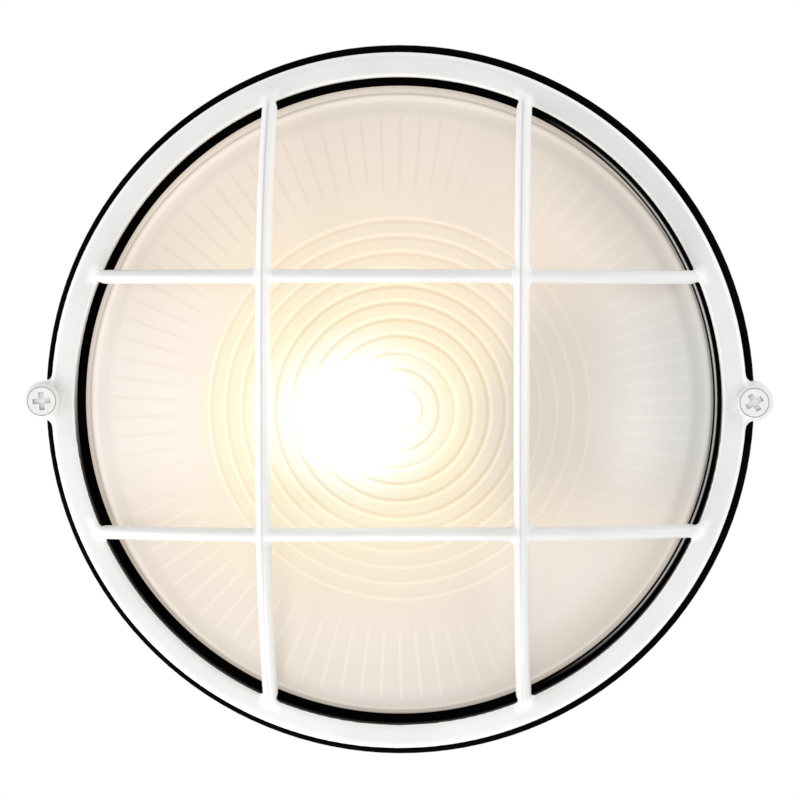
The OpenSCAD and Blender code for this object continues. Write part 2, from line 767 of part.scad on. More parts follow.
module glass_lens() color("mistyrose") stood_up() {
    difference() {
        rotate_extrude($fn = fine) lens_profile();
        intersection() {
            off_centre() rotate_extrude($fn = fine) plunger_profile();
            translate([0, 0, lens_back - cut]) {
                cylinder(r = lens_bore_radius, h = dome_top - lens_back, $fn = fine);
            }
        }
    }
    off_centre() flutes();
}

// Ridge line of a bar at a share u of its half span, as [along, up]
function arch_point(u) = [u * arch_half_span, guard_front + arch_rise * (1 - pow(abs(u), arch_power))];

// Slope of the ridge line at u
function arch_slope(u) = -sign(u) * arch_power * pow(abs(u), arch_power - 1) * arch_rise / arch_half_span;

// Direction square to the ridge line at u, pointing away from the lens
function arch_normal(u) = let (slope = arch_slope(u)) [-slope, 1] / sqrt(1 + slope * slope);

// Half of a bar's section as [across, depth] points: a curved flank from the soft ridge down to the flat back
function half_section(width) = let (
    flank = (pow(bar_front, 2) + pow(width / 2, 2)) / width,
    ridge_angle = asin(bar_front / flank),
    back_angle = asin((bar_front - bar_depth) / flank)
) [
    for (step = [0 : 2 * flank_steps])
        let (angle = ridge_angle + (back_angle - ridge_angle) * step / (2 * flank_steps))
        [flank * cos(angle) - flank + width / 2, flank * sin(angle) - bar_front]
];

// Whole section of a bar, from the ridge round one flank, over the flat back and up the other flank
function bar_section(width) = let (half = half_section(width)) concat(
    half, [for (step = [2 * flank_steps : -1 : 1]) [-half[step][0], half[step][1]]]
);

// Width of a bar at u as a share of its width in the middle
function bar_narrowing(u) = 1 - (1 - bar_taper) * pow(abs(u), taper_power);

// One arched bar along x with its ridge towards +z, bowed towards +y and swept through its stations
module arched_bar(width) {
    section = bar_section(width);
    sides = len(section);
    stations = [
        for (station = [0 : bar_stations]) (1 + bar_embed) * sin(180 * station / bar_stations - 90)
    ];
    points = [
        for (u = stations, corner = section)
            let (
                ridge = arch_point(u),
                normal = arch_normal(u),
                across = corner[0] * bar_narrowing(u) + bar_bow * (1 - u * u)
            )
            [ridge[0] + normal[0] * corner[1], across, ridge[1] + normal[1] * corner[1]]
    ];
    flanks = [
        for (station = [0 : bar_stations - 1], side = [0 : sides - 1])
            let (near = station * sides, far = near + sides, next = (side + 1) % sides)
            [near + side, near + next, far + next, far + side]
    ];
    ends = [
        [for (side = [sides - 1 : -1 : 0]) side],
        [for (side = [0 : sides - 1]) bar_stations * sides + side]
    ];
    polyhedron(points, concat(flanks, ends));
}

module guard() color("white") stood_up() difference() {
    union() {
        rotate_extrude($fn = fine) rounded_band(
            guard_inner_radius, guard_outer_radius, guard_back, guard_front,
            guard_inner_round, guard_outer_round
        );
        ears(guard_outer_radius, guard_back, guard_front - guard_outer_round);
        at_both_ears() translate([0, 0, guard_ear_back]) {
            cylinder(r = ear_radius, h = screw_seat - guard_ear_back);
        }
        for (half_turn = [0, 180]) {
            rotate(half_turn) translate([0, bar_offset, 0]) arched_bar(level_bar_width);
            rotate(half_turn + 90) translate([0, bar_offset, 0]) arched_bar(upright_bar_width);
        }
    }
    at_both_ears() translate([0, 0, guard_ear_back - cut]) {
        cylinder(r = cover_screw_radius + screw_clearance, h = screw_seat - guard_ear_back + 2 * cut);
    }
}

// Cover screw seated on its ear, on the side given by -1 or 1
module cover_screw(side) color("white") stood_up() {
    translate([side * screw_offset, 0, screw_seat]) {
        pan_screw(
            cover_head_radius, cover_head_height, cover_head_round, cover_screw_radius,
            screw_seat - housing_depth + cover_screw_grip
        );
    }
}

module cover_screw_left() cover_screw(-1);

module cover_screw_right() cover_screw(1);

// Rubber ring on a cover screw between the two ears, on the side given by -1 or 1
module retaining_ring(side) color("black") stood_up() {
    translate([side * screw_offset, 0, retaining_ring_back]) difference() {
        cylinder(r = retaining_ring_radius, h = retaining_ring_thickness);
        translate([0, 0, -cut]) {
            cylinder(r = cover_screw_radius + screw_clearance, h = retaining_ring_thickness + 2 * cut);
        }
    }
}

module retaining_ring_left() retaining_ring(-1);

module retaining_ring_right() retaining_ring(1);

rear_housing();
entry_plugs();
plug_seals();
cable_grommet();
lampholder_bracket();
bracket_screws();
lampholder_body();
lampholder_screws();
lampholder_shell();
centre_contact();
bulb();
terminal_block();
terminal_tubes();
terminal_screws();
block_screw();
earth_screw();
earth_washer();
gasket();
glass_lens();
guard();
cover_screw_left();
cover_screw_right();
retaining_ring_left();
retaining_ring_right();
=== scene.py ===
"""Looks of a lit round bulkhead light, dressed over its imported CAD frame.

Everything is in metres in the row frame: the lens faces -Y, +Z is up and the wall plane lies at Y = 0.
Pieces are drawn on the bench, with z out of the wall and y up, and then stood up.
"""

import json
import logging
import math
from collections.abc import Callable, Mapping, Sequence
from dataclasses import dataclass, fields
from enum import Enum
from typing import Any

import bmesh
import bpy
from mathutils import Matrix, Vector


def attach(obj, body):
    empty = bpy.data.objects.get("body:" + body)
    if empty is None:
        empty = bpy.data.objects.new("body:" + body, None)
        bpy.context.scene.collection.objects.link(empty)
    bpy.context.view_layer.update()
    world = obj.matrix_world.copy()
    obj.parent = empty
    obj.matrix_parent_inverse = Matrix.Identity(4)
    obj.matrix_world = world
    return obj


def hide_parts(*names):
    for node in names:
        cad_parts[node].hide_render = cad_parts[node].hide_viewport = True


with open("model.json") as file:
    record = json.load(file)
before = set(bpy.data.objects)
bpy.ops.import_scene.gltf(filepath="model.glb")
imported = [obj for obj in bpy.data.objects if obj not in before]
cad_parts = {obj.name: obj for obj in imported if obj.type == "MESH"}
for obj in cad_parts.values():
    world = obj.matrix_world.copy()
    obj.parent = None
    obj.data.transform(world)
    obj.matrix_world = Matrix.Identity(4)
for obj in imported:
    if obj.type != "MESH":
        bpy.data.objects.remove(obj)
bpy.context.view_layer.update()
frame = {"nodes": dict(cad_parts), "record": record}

LOG = logging.getLogger("bulkhead_light")
MM = 0.001
AXIS = 0.0
SIDES = (-1.0, 1.0)
DOUBLES = 0.002 * MM
STAND_UP = Matrix.Rotation(math.radians(90.0), 4, "X")

Colour = tuple[float, float, float]
Place = tuple[float, float, float]
Point = tuple[float, float]
Span = tuple[float, float]
Row = Sequence[bmesh.types.BMVert]


class Slot(Enum):
    """Material slots of the record that a piece takes its finish from."""

    ENAMEL = "white_enamel"
    RUBBER = "black_rubber"
    LENS = "lens_glass"
    LAMP = "lamp_glass"
    PORCELAIN = "porcelain"
    STEEL = "plated_steel"
    BRASS = "brass"
    PLASTIC = "grey_plastic"


class Body(Enum):
    """CAD bodies that a piece rides on."""

    HOUSING = "housing"
    COVER = "cover"
    SCREW_LEFT = "screw_left"
    SCREW_RIGHT = "screw_right"


def operator(operation: str, reflected: bool = False) -> Callable[["Wire", Any], "Wire"]:
    """Makes a method of Wire that adds one Math node.

    Args:
        operation: Blender's name of the operation.
        reflected: whether the other value comes first.

    Returns:
        The method.
    """
    def method(self: "Wire", other: Any) -> "Wire":
        """Feeds both values to the node, in order."""
        return self.kit.math(operation, *((other, self) if reflected else (self, other)))

    return method


class Wire:
    """An output socket that works in Python expressions, each operator adding one Math node."""

    __add__, __radd__ = operator("ADD"), operator("ADD", True)
    __sub__, __rsub__ = operator("SUBTRACT"), operator("SUBTRACT", True)
    __mul__, __rmul__ = operator("MULTIPLY"), operator("MULTIPLY", True)
    __truediv__, __rtruediv__ = operator("DIVIDE"), operator("DIVIDE", True)
    __pow__ = operator("POWER")

    def __init__(self, kit: "NodeKit", socket: bpy.types.NodeSocket) -> None:
        self.kit = kit
        self.socket = socket

    def twin(self, name: str) -> "Wire":
        """Another output of the same node."""
        return Wire(self.kit, self.socket.node.outputs[name])

    def __abs__(self) -> "Wire":
        """Value without its sign."""
        return self.kit.math("ABSOLUTE", self)

    def __neg__(self) -> "Wire":
        """Value with its sign turned."""
        return self.kit.math("MULTIPLY", self, -1.0)


class NodeKit:
    """Writes the nodes of one tree, for a material, the world or a geometry modifier."""

    def __init__(self, tree: bpy.types.NodeTree) -> None:
        """Starts on an empty tree."""
        self.tree = tree
        tree.nodes.clear()

    def node(self, kind: str, settings: Mapping[str, Any] | None = None,
             sockets: Mapping[str | int, Any] | None = None, output: str | int = 0) -> Wire | None:
        """Adds a node of any type.

        Args:
            kind: Blender's name of the node type.
            settings: attributes set before the sockets; "stops" fills a colour ramp.
            sockets: values or wires by socket name or number.
            output: the output that is wrapped.

        Returns:
            The wrapped output, or None where the node has none.
        """
        made = self.tree.nodes.new(kind)
        for name, value in (settings or {}).items():
            if name == "stops":
                self.fill_ramp(made.color_ramp, value)
            else:
                setattr(made, name, value)
        for key, value in (sockets or {}).items():
            self.fill(made.inputs[key], value)
        return Wire(self, made.outputs[output]) if made.outputs else None

    def fill(self, socket: bpy.types.NodeSocket, value: Any) -> None:
        """Links a wire into a socket, or sets its value.

        Args:
            socket: the input socket.
            value: a wire, number, vector or colour.
        """
        if isinstance(value, Wire):
            self.tree.links.new(value.socket, socket)
        elif socket.type == "RGBA":
            socket.default_value = (*value, 1.0)
        else:
            socket.default_value = value

    @staticmethod
    def fill_ramp(ramp: bpy.types.ColorRamp, stops: Sequence[tuple[float, Colour]]) -> None:
        """Gives a colour ramp its stops.

        Args:
            ramp: the ramp of a new node.
            stops: places and colours, in order.
        """
        while len(ramp.elements) < len(stops):
            ramp.elements.new(1.0)
        for element, (place, colour) in zip(ramp.elements, stops):
            element.position = place
            element.color = (*colour, 1.0)

    def math(self, operation: str, *values: Any) -> Wire:
        """One Math node."""
        return self.node("ShaderNodeMath", {"operation": operation}, dict(enumerate(values)))

    def distance(self, x: Wire, y: Wire) -> Wire:
        """Distance of a point from the middle."""
        return self.math("SQRT", x * x + y * y)

    def step(self, value: Wire, low: float | Wire, high: float | Wire) -> Wire:
        """Smooth step from 0 at low to 1 at high, or down again where high is the lower one."""
        sockets = {"Value": value, "From Min": low, "From Max": high}
        return self.node("ShaderNodeMapRange", {"interpolation_type": "SMOOTHSTEP"}, sockets)

    def fade(self, value: Wire, span: Span) -> Wire:
        """Smooth step over a span in millimetres."""
        return self.step(value, span[0] * MM, span[1] * MM)

    def line(self, value: Wire, centre: float, half_width: float) -> Wire:
        """Soft mask that is 1 where value is at centre and 0 past half_width from it."""
        return self.step(abs(value - centre), half_width, 0.0)

    def stripe(self, value: Wire, line: Span) -> Wire:
        """Soft line of a place and half width in millimetres."""
        return self.line(value, line[0] * MM, line[1] * MM)

    def join(self, x: Any, y: Any, z: Any) -> Wire:
        """Vector of three values."""
        return self.node("ShaderNodeCombineXYZ", None, {"X": x, "Y": y, "Z": z})

    def split(self, vector: Wire) -> tuple[Wire, Wire, Wire]:
        """The three values of a vector."""
        first = self.node("ShaderNodeSeparateXYZ", None, {"Vector": vector})
        return first, first.twin("Y"), first.twin("Z")


class Shader(NodeKit):
    """Node tree of one material."""

    def __init__(self, name: str) -> None:
        """Starts a material of that name."""
        self.material = bpy.data.materials.new(name)
        self.material.use_nodes = True
        super().__init__(self.material.node_tree)
        self.place = self.node("ShaderNodeTexCoord", None, None, "Object")

    def noise(self, scale: float, detail: float, vector: Wire | None = None) -> Wire:
        """Noise of the surface's own place, with scale as cells to the metre."""
        sockets = {"Vector": vector or self.place, "Scale": scale, "Detail": detail}
        return self.node("ShaderNodeTexNoise", None, sockets, "Fac")

    @staticmethod
    def sway(noise: Wire, amount: float) -> Wire:
        """Swing of a noise to both sides of zero."""
        return amount * (noise - 0.5)

    def mix(self, factor: Any, first: Any, second: Any, blend: str = "MIX") -> Wire:
        """Mix of two colours."""
        settings = {"data_type": "RGBA", "blend_type": blend}
        return self.node("ShaderNodeMix", settings, {0: factor, 6: first, 7: second}, 2)

    def grey(self, level: Wire) -> Wire:
        """Grey of a level."""
        return self.join(level, level, level)

    def bump(self, height: Wire, strength: float, distance: float) -> Wire:
        """Normal of a height in distances of a metre."""
        sockets = {"Height": height, "Strength": strength, "Distance": distance}
        return self.node("ShaderNodeBump", None, sockets)

    def finish(self, **sockets: Any) -> bpy.types.Material:
        """Ends the tree in a Principled shader.

        Args:
            sockets: values or wires by socket name, with _ for a space.

        Returns:
            The finished material.
        """
        named = {name.replace("_", " "): value for name, value in sockets.items()}
        surface = self.node("ShaderNodeBsdfPrincipled", None, named)
        self.node("ShaderNodeOutputMaterial", None, {"Surface": surface})
        return self.material


Marks = Callable[[Shader, Wire], Wire]


@dataclass(frozen=True)
class Enamel:
    """Satin white powder coat with a faint orange peel and a little grey settled in it."""

    slot: Slot = Slot.ENAMEL
    colour: Colour = (0.83, 0.83, 0.815)
    shade: Colour = (0.78, 0.78, 0.765)
    shade_range: Span = (0.42, 0.72)
    cloud_scale: float = 38.0
    peel_scale: float = 620.0
    roughness: float = 0.36
    cloud_gloss: float = 0.08
    peel_gloss: float = 0.06
    peel_bump: float = 0.18
    peel_height: float = 0.12 * MM

    def material(self, name: str, marks: Marks | None = None) -> bpy.types.Material:
        """The finished material.

        Args:
            name: the material's name.
            marks: adds a piece's own painted highlights and painted shade to the coat's colour.

        Returns:
            The material of one white piece.
        """
        kit = Shader(name)
        cloud = kit.noise(self.cloud_scale, 4.0)
        peel = kit.noise(self.peel_scale, 2.0)
        coat = kit.mix(kit.step(cloud, *self.shade_range), self.colour, self.shade)
        return kit.finish(
            Base_Color=marks(kit, coat) if marks else coat,
            Roughness=self.roughness + kit.sway(cloud, self.cloud_gloss) + kit.sway(peel, self.peel_gloss),
            Coat_Weight=0.12,
            Coat_Roughness=0.2,
            Normal=kit.bump(peel, self.peel_bump, self.peel_height),
        )


@dataclass(frozen=True)
class Rubber:
    """Matt black moulded rubber with a fine grain."""

    slot: Slot = Slot.RUBBER
    colour: Colour = (0.0006, 0.0006, 0.0007)
    bloom: Colour = (0.0018, 0.0018, 0.0017)
    bloom_range: Span = (0.4, 0.75)
    bloom_scale: float = 60.0
    grain_scale: float = 1900.0
    grain_bump: float = 0.3
    grain_height: float = 0.1 * MM
    roughness: float = 0.7
    grain_gloss: float = 0.14
    shine: float = 0.015
    lip_line: Span = (90.85, 0.45)
    lip_right: Span = (40.0, 80.0)
    lip_light: Colour = (0.95, 0.93, 0.9)

    def material(self) -> bpy.types.Material:
        """The finished material, with a painted highlight of the glass rim on the right edge of the gasket.

        Returns:
            The material of all rubber pieces.
        """
        kit = Shader(self.slot.value)
        grain = kit.noise(self.grain_scale, 3.0)
        bloom = kit.step(kit.noise(self.bloom_scale, 3.0), *self.bloom_range)
        across, _, up = kit.split(kit.place)
        # painted highlight: a light line where the glass rim meets the gasket, on the right side only
        painted_glass_glint = kit.stripe(kit.distance(across, up), self.lip_line) * kit.fade(across, self.lip_right)
        return kit.finish(
            Base_Color=kit.mix(painted_glass_glint, kit.mix(bloom, self.colour, self.bloom), self.lip_light),
            Roughness=self.roughness + kit.sway(grain, self.grain_gloss),
            Specular_IOR_Level=self.shine,
            Normal=kit.bump(grain, self.grain_bump, self.grain_height),
        )


@dataclass(frozen=True)
class Metal:
    """Plain metal with tool lines running round the bulb's axis and a few duller spots."""

    slot: Slot
    colour: Colour
    tarnish: Colour
    roughness: float
    tarnish_range: Span = (0.45, 0.8)
    tarnish_scale: float = 130.0
    tarnish_gloss: float = 0.14
    line_scale: float = 2600.0
    round_scale: float = 90.0
    line_gloss: float = 0.16
    line_bump: float = 0.12
    line_height: float = 0.06 * MM

    def material(self) -> bpy.types.Material:
        """The finished material.

        Returns:
            The material of the slot's pieces.
        """
        kit = Shader(self.slot.value)
        across, out, up = kit.split(kit.place)
        stretched = kit.join(across * self.line_scale, out * self.round_scale, up * self.round_scale)
        lines = kit.noise(1.0, 3.0, stretched)
        cloud = kit.noise(self.tarnish_scale, 4.0)
        gloss = kit.sway(lines, self.line_gloss) + kit.sway(cloud, self.tarnish_gloss)
        return kit.finish(
            Base_Color=kit.mix(kit.step(cloud, *self.tarnish_range), self.colour, self.tarnish),
            Metallic=1.0,
            Roughness=self.roughness + gloss,
            Normal=kit.bump(lines, self.line_bump, self.line_height),
        )


@dataclass(frozen=True)
class Moulding:
    """Glazed porcelain or moulded plastic, told apart by colour, gloss and grain."""

    slot: Slot
    colour: Colour
    fleck: Colour
    roughness: float
    coat: float
    grain: float
    fleck_range: Span = (0.5, 0.8)
    fleck_scale: float = 75.0
    fleck_gloss: float = 0.1
    grain_scale: float = 900.0
    grain_height: float = 0.1 * MM

    def material(self) -> bpy.types.Material:
        """The finished material.

        Returns:
            The material of the slot's pieces.
        """
        kit = Shader(self.slot.value)
        cloud = kit.noise(self.fleck_scale, 4.0)
        return kit.finish(
            Base_Color=kit.mix(kit.step(cloud, *self.fleck_range), self.colour, self.fleck),
            Roughness=self.roughness + kit.sway(cloud, self.fleck_gloss),
            Coat_Weight=self.coat,
            Coat_Roughness=0.08,
            Normal=kit.bump(kit.noise(self.grain_scale, 2.0), self.grain, self.grain_height),
        )


@dataclass(frozen=True)
class LampGlass:
    """Lit opal glass, whitest round the globe's middle and warmer down the neck."""

    slot: Slot = Slot.LAMP
    opal: Colour = (0.9, 0.89, 0.86)
    opal_cloud: Colour = (0.82, 0.8, 0.75)
    cloud_share: float = 0.3
    cloud_scale: float = 45.0
    roughness: float = 0.3
    cloud_gloss: float = 0.1
    glow: Colour = (1.0, 0.93, 0.78)
    neck_glow: Colour = (0.95, 0.72, 0.42)
    strength: float = 2.4

    def material(self, globe: float, neck: float) -> bpy.types.Material:
        """The finished material.

        Args:
            globe: x of the globe's middle.
            neck: x of the neck's end at the cap.

        Returns:
            The material of the lit glass.
        """
        kit = Shader(self.slot.value)
        across, _, _ = kit.split(kit.place)
        cloud = kit.noise(self.cloud_scale, 3.0)
        return kit.finish(
            Base_Color=kit.mix(self.cloud_share * cloud, self.opal, self.opal_cloud),
            Roughness=self.roughness + kit.sway(cloud, self.cloud_gloss),
            Emission_Color=kit.mix(kit.step(across, globe, neck), self.glow, self.neck_glow),
            Emission_Strength=self.strength,
        )


@dataclass(frozen=True)
class LensSizes:
    """Sizes of the pressed glass lens, on the bench."""

    radius: float = 90.0 * MM
    dome_radius: float = 195.0 * MM
    shoulder: float = 4.0 * MM
    thickness: float = 4.0 * MM
    flange_radius: float = 94.4 * MM
    flange_bevel: float = 0.5 * MM
    back: float = 54.5 * MM
    flange_front: float = 58.5 * MM
    shoulder_level: float = 60.6 * MM
    ring_pitch: float = 4.6 * MM
    ring_count: int = 12
    ring_relief: float = 0.8 * MM
    flute_count: int = 90
    flute_start: float = 61.5 * MM
    flute_end: float = 84.3 * MM
    flute_relief: float = 0.6 * MM
    pattern_drop: float = 1.8 * MM
    pattern_side: float = 1.1 * MM

    @property
    def dome_centre(self) -> float:
        """Height of the dome's centre of curvature."""
        reach = self.radius - self.shoulder
        return self.shoulder_level - math.sqrt((self.dome_radius - self.shoulder) ** 2 - reach ** 2)


@dataclass(frozen=True)
class Patch:
    """Soft area of the lens: its weight, and spans in millimetres from its edge to where it is full."""

    weight: float = 1.0
    across: Span | None = None
    up: Span | None = None
    height: Span | None = None
    rim: Span | None = None
    side: Span | None = None
    lift: Span | None = None
    spread: Span | None = None


@dataclass(frozen=True)
class EdgeLine:
    """Line along the edge of the lens: place and half width in millimetres, strength and what sides add."""

    place: float
    half_width: float
    strength: float
    low: float = 0.0
    right: float = 0.0


class LensShader(Shader):
    """Node tree of the lens's material, which knows where a point lies on the lens."""

    def __init__(self, name: str, sizes: LensSizes) -> None:
        """Starts the material and measures from the middle of the lens and of its pattern.

        Args:
            name: the material's name.
            sizes: the lens's sizes.
        """
        super().__init__(name)
        self.across, _, self.up = self.split(self.place)
        self.height = abs(self.up)
        self.rim = self.distance(self.across, self.up)
        self.side = self.across - sizes.pattern_side
        self.lift = self.up + sizes.pattern_drop
        self.spread = self.distance(self.side, self.lift)

    def area(self, patch: Patch) -> Wire:
        """Mask of a soft area.

        Args:
            patch: the area.

        Returns:
            The mask, as strong as the area's weight inside it.
        """
        mask = patch.weight
        for measure in fields(Patch)[1:]:
            span = getattr(patch, measure.name)
            if span:
                mask = mask * self.fade(getattr(self, measure.name), span)
        return mask

    def outside(self, *patches: Patch) -> Wire:
        """Mask that is weakened inside some areas, by their weights.

        Args:
            patches: the areas.

        Returns:
            The mask, 1 where no area lies.
        """
        mask = 1.0
        for patch in patches:
            mask = mask * (1.0 - self.area(patch))
        return mask


@dataclass(frozen=True)
class LensGlass:
    """Frosted pressed glass with the bulb's light behind it painted as emission: a white core, warm round it
    and greyer away from the bulb.

    Spans and lines are in millimetres, apart from core_range, in shares of the glow's reach, and
    ring_field, ring_start, ring_dark, ring_light and flute_line, in pitches of a ring or flute.
    """

    sizes: LensSizes
    slot: Slot = Slot.LENS
    body: Colour = (0.27, 0.262, 0.25)
    body_cloud: Colour = (0.24, 0.232, 0.216)
    cloud_share: float = 0.25
    cloud_scale: float = 50.0
    roughness: float = 0.42
    frost_scale: float = 1500.0
    frost_gloss: float = 0.1
    frost_bump: float = 0.1
    frost_height: float = 0.05 * MM
    frost_level: float = 0.93
    frost_grain: float = 0.14
    core_place: Point = (-10.4 * MM, -3.6 * MM)
    core_range: Span = (0.19, 0.065)
    core_light: Colour = (0.9, 0.9, 0.88)
    left_stretch: float = 0.22
    left_reach: Span = (0.0, -30.0)
    glow_reach: float = 100.0 * MM
    glow_stops: tuple[tuple[float, Colour], ...] = (
        (0.0, (1.0, 1.0, 0.98)), (0.13, (0.92, 0.92, 0.86)), (0.19, (0.7, 0.68, 0.56)),
        (0.27, (0.66, 0.585, 0.37)), (0.45, (0.635, 0.515, 0.35)), (0.6, (0.585, 0.485, 0.38)),
        (0.8, (0.53, 0.45, 0.37)), (1.0, (0.46, 0.4, 0.33)),
    )
    pale_side: Patch = Patch(0.9, spread=(50.0, 60.0), across=(-22.0, -45.0), height=(50.0, 10.0))
    pale_colour: Colour = (0.6, 0.515, 0.455)
    level: float = 1.08
    darker: tuple[Patch, ...] = (
        Patch(0.28, up=(-10.0, -80.0)),
        Patch(0.19, rim=(60.0, 88.0), across=(-20.0, -60.0), height=(62.0, 35.0)),
        Patch(0.05, up=(66.0, 88.0)),
        Patch(0.07, up=(-66.0, -88.0)),
    )
    shade_share: float = 0.85
    shade_lean: float = 0.35
    shade_side: Span = (16.0, 37.0)
    shade_middle: float = 3.0 * MM
    shade_height: Span = (46.0, 12.0)
    shade_colour: Colour = (0.41, 0.365, 0.305)
    right_side: Patch = Patch(across=(48.0, 72.0))
    right_colour: Colour = (0.46, 0.45, 0.435)
    low_right: Patch = Patch(up=(14.0, -14.0))
    low_right_colour: Colour = (0.535, 0.525, 0.505)
    milky_corner: Patch = Patch(across=(20.0, 40.0), up=(-30.0, -46.0), rim=(83.0, 74.0))
    milky_light: Colour = (0.05, 0.07, 0.085)
    dim_right: Patch = Patch(0.9, rim=(66.0, 84.0), across=(20.0, 60.0), up=(-36.0, -16.0))
    dim_tint: Colour = (0.74, 0.75, 0.76)
    ring_field: Span = (0.2, -0.4)
    ring_start: Span = (1.1, 1.5)
    ring_dark: Span = (0.5, 0.17)
    ring_light: Span = (0.74, 0.16)
    dark_strength: float = 0.9
    light_strength: float = 0.7
    dark_losses: tuple[Patch, ...] = (
        Patch(0.45, spread=(33.0, 42.0)), Patch(0.7, lift=(-22.0, -38.0)), Patch(0.9, side=(24.0, 40.0)))
    light_losses: tuple[Patch, ...] = (Patch(0.3, lift=(-22.0, -38.0)), Patch(0.6, side=(24.0, 40.0)))
    ring_tint: Colour = (0.86, 0.74, 0.56)
    line_light: Colour = (0.16, 0.15, 0.12)
    bright_ring: Span = (16.35, 0.5)
    bright_side: Patch = Patch(side=(-6.0, 6.0))
    bright_light: Colour = (0.34, 0.34, 0.3)
    flute_line: Span = (0.5, 0.15)
    flute_strength: float = 0.65
    flute_fade_in: Span = (-2.0, 5.0)
    flute_fade_out: Span = (0.5, -3.0)
    low_flutes: Patch = Patch(up=(-5.0, -40.0))
    right_flutes: Patch = Patch(across=(8.0, 45.0))
    dark_flutes: Patch = Patch(across=(50.0, 5.0))
    flute_tint: Colour = (0.87, 0.84, 0.81)
    flute_light: float = 0.55
    right_loss: float = 0.45
    corner_loss: float = 0.75
    edge_out: float = 1.6 * MM
    edge_out_reach: Span = (-90.0, 50.0)
    edge_in: Patch = Patch(0.6 * MM, up=(45.0, 85.0))
    right_edge: Patch = Patch(across=(50.0, 80.0), up=(-55.0, -25.0))
    low_edge: Patch = Patch(up=(-15.0, -60.0))
    dark_line: EdgeLine = EdgeLine(-1.8, 0.6, 0.5, low=-0.4, right=0.5)
    fine_line: EdgeLine = EdgeLine(-1.2, 0.42, 0.0, low=0.55)
    band_line: EdgeLine = EdgeLine(-6.5, 2.6, 0.45, low=-0.15, right=0.5)
    shoulder_line: EdgeLine = EdgeLine(-3.1, 1.4, 0.7, low=0.3)
    rim_line: EdgeLine = EdgeLine(-0.1, 0.45, 0.35, right=0.35)
    edge_tint: Colour = (0.2, 0.17, 0.14)
    band_tint: Colour = (0.8, 0.795, 0.79)
    shoulder_light: Colour = (0.16, 0.16, 0.15)
    rim_light: Colour = (0.2, 0.2, 0.19)

    def material(self) -> bpy.types.Material:
        """The finished material.

        Returns:
            The material of the lens.
        """
        kit = LensShader(self.slot.value, self.sizes)
        glow = self.glow(kit)
        for add_lines in (self.ring_lines, self.flute_lines, self.edge_lines):
            glow = add_lines(kit, glow)
        frost = kit.noise(self.frost_scale, 3.0)
        grain = kit.grey(self.frost_level + self.frost_grain * frost)
        cloud = kit.noise(self.cloud_scale, 3.0)
        return kit.finish(
            Base_Color=kit.mix(self.cloud_share * cloud, self.body, self.body_cloud),
            Roughness=self.roughness + kit.sway(frost, self.frost_gloss),
            Coat_Weight=0.16,
            Coat_Roughness=0.3,
            # painted glow: the bulb's light through the frosted glass is painted in as emission, though the
            # lens is no lamp
            Emission_Color=kit.mix(1.0, glow, grain, "MULTIPLY"),
            Emission_Strength=1.0,
            Normal=kit.bump(frost, self.frost_bump, self.frost_height),
        )

    def glow(self, kit: LensShader) -> Wire:
        """Painted light of the bulb behind the frosted glass, with painted shade on the right where the lamp
        holder stands.

        Args:
            kit: the material's tree.

        Returns:
            The emitted colour before the pressed pattern.
        """
        side = kit.across - self.core_place[0]
        rise = kit.up - self.core_place[1]
        stretch = side * (1.0 - self.left_stretch * kit.fade(side, self.left_reach))
        reach = kit.distance(stretch, rise) / self.glow_reach
        warm = kit.node("ShaderNodeValToRGB", {"stops": self.glow_stops}, {"Fac": reach}, "Color")
        warm = kit.mix(kit.step(reach, *self.core_range), warm, self.core_light, "ADD")
        # paler painted glow on the left side
        warm = kit.mix(kit.area(self.pale_side), warm, self.pale_colour)
        # painted glow dimmed towards the bottom, the left edge, the top and the foot
        level = self.level
        for patch in self.darker:
            level = level - kit.area(patch)
        warm = kit.mix(1.0, warm, kit.grey(level), "MULTIPLY")
        # painted shadow of the lamp holder, grey on the right of the lens
        lean = kit.across - self.shade_lean * kit.math("MAXIMUM", kit.up, 0.0)
        off_middle = abs(kit.up - self.shade_middle)
        shaded = kit.fade(lean, self.shade_side) * kit.fade(off_middle, self.shade_height)
        right = kit.mix(kit.area(self.low_right), self.right_colour, self.low_right_colour)
        grey = kit.mix(kit.area(self.right_side), self.shade_colour, right)
        lit = kit.mix(self.shade_share * shaded, warm, grey)
        # painted brighter glow in the lower right corner
        lit = kit.mix(kit.area(self.milky_corner), lit, self.milky_light, "ADD")
        # painted shade towards the right edge
        return kit.mix(kit.area(self.dim_right), lit, self.dim_tint, "MULTIPLY")

    def ring_lines(self, kit: LensShader, glow: Wire) -> Wire:
        """Adds a painted dark and a painted light line to each pressed ring, the shade and light that the
        rings make of the bulb's glow, fainter away from the bulb.

        Args:
            kit: the material's tree.
            glow: the emitted colour so far.

        Returns:
            The emitted colour with its rings.
        """
        turns = kit.spread / self.sizes.ring_pitch
        phase = kit.math("FRACT", turns)
        last = self.sizes.ring_count
        field = kit.step(turns, last + self.ring_field[0], last + self.ring_field[1])
        field = field * kit.step(turns, *self.ring_start)
        dark = kit.line(phase, *self.ring_dark) * field * kit.outside(*self.dark_losses)
        light = kit.line(phase, *self.ring_light) * field * kit.outside(*self.light_losses)
        # painted shade and painted light of the pressed rings
        glow = kit.mix(self.dark_strength * dark, glow, self.ring_tint, "MULTIPLY")
        glow = kit.mix(self.light_strength * light, glow, self.line_light, "ADD")
        # painted bright arc of one ring on its right side
        bright = kit.stripe(kit.spread, self.bright_ring) * kit.area(self.bright_side)
        return kit.mix(bright, glow, self.bright_light, "ADD")

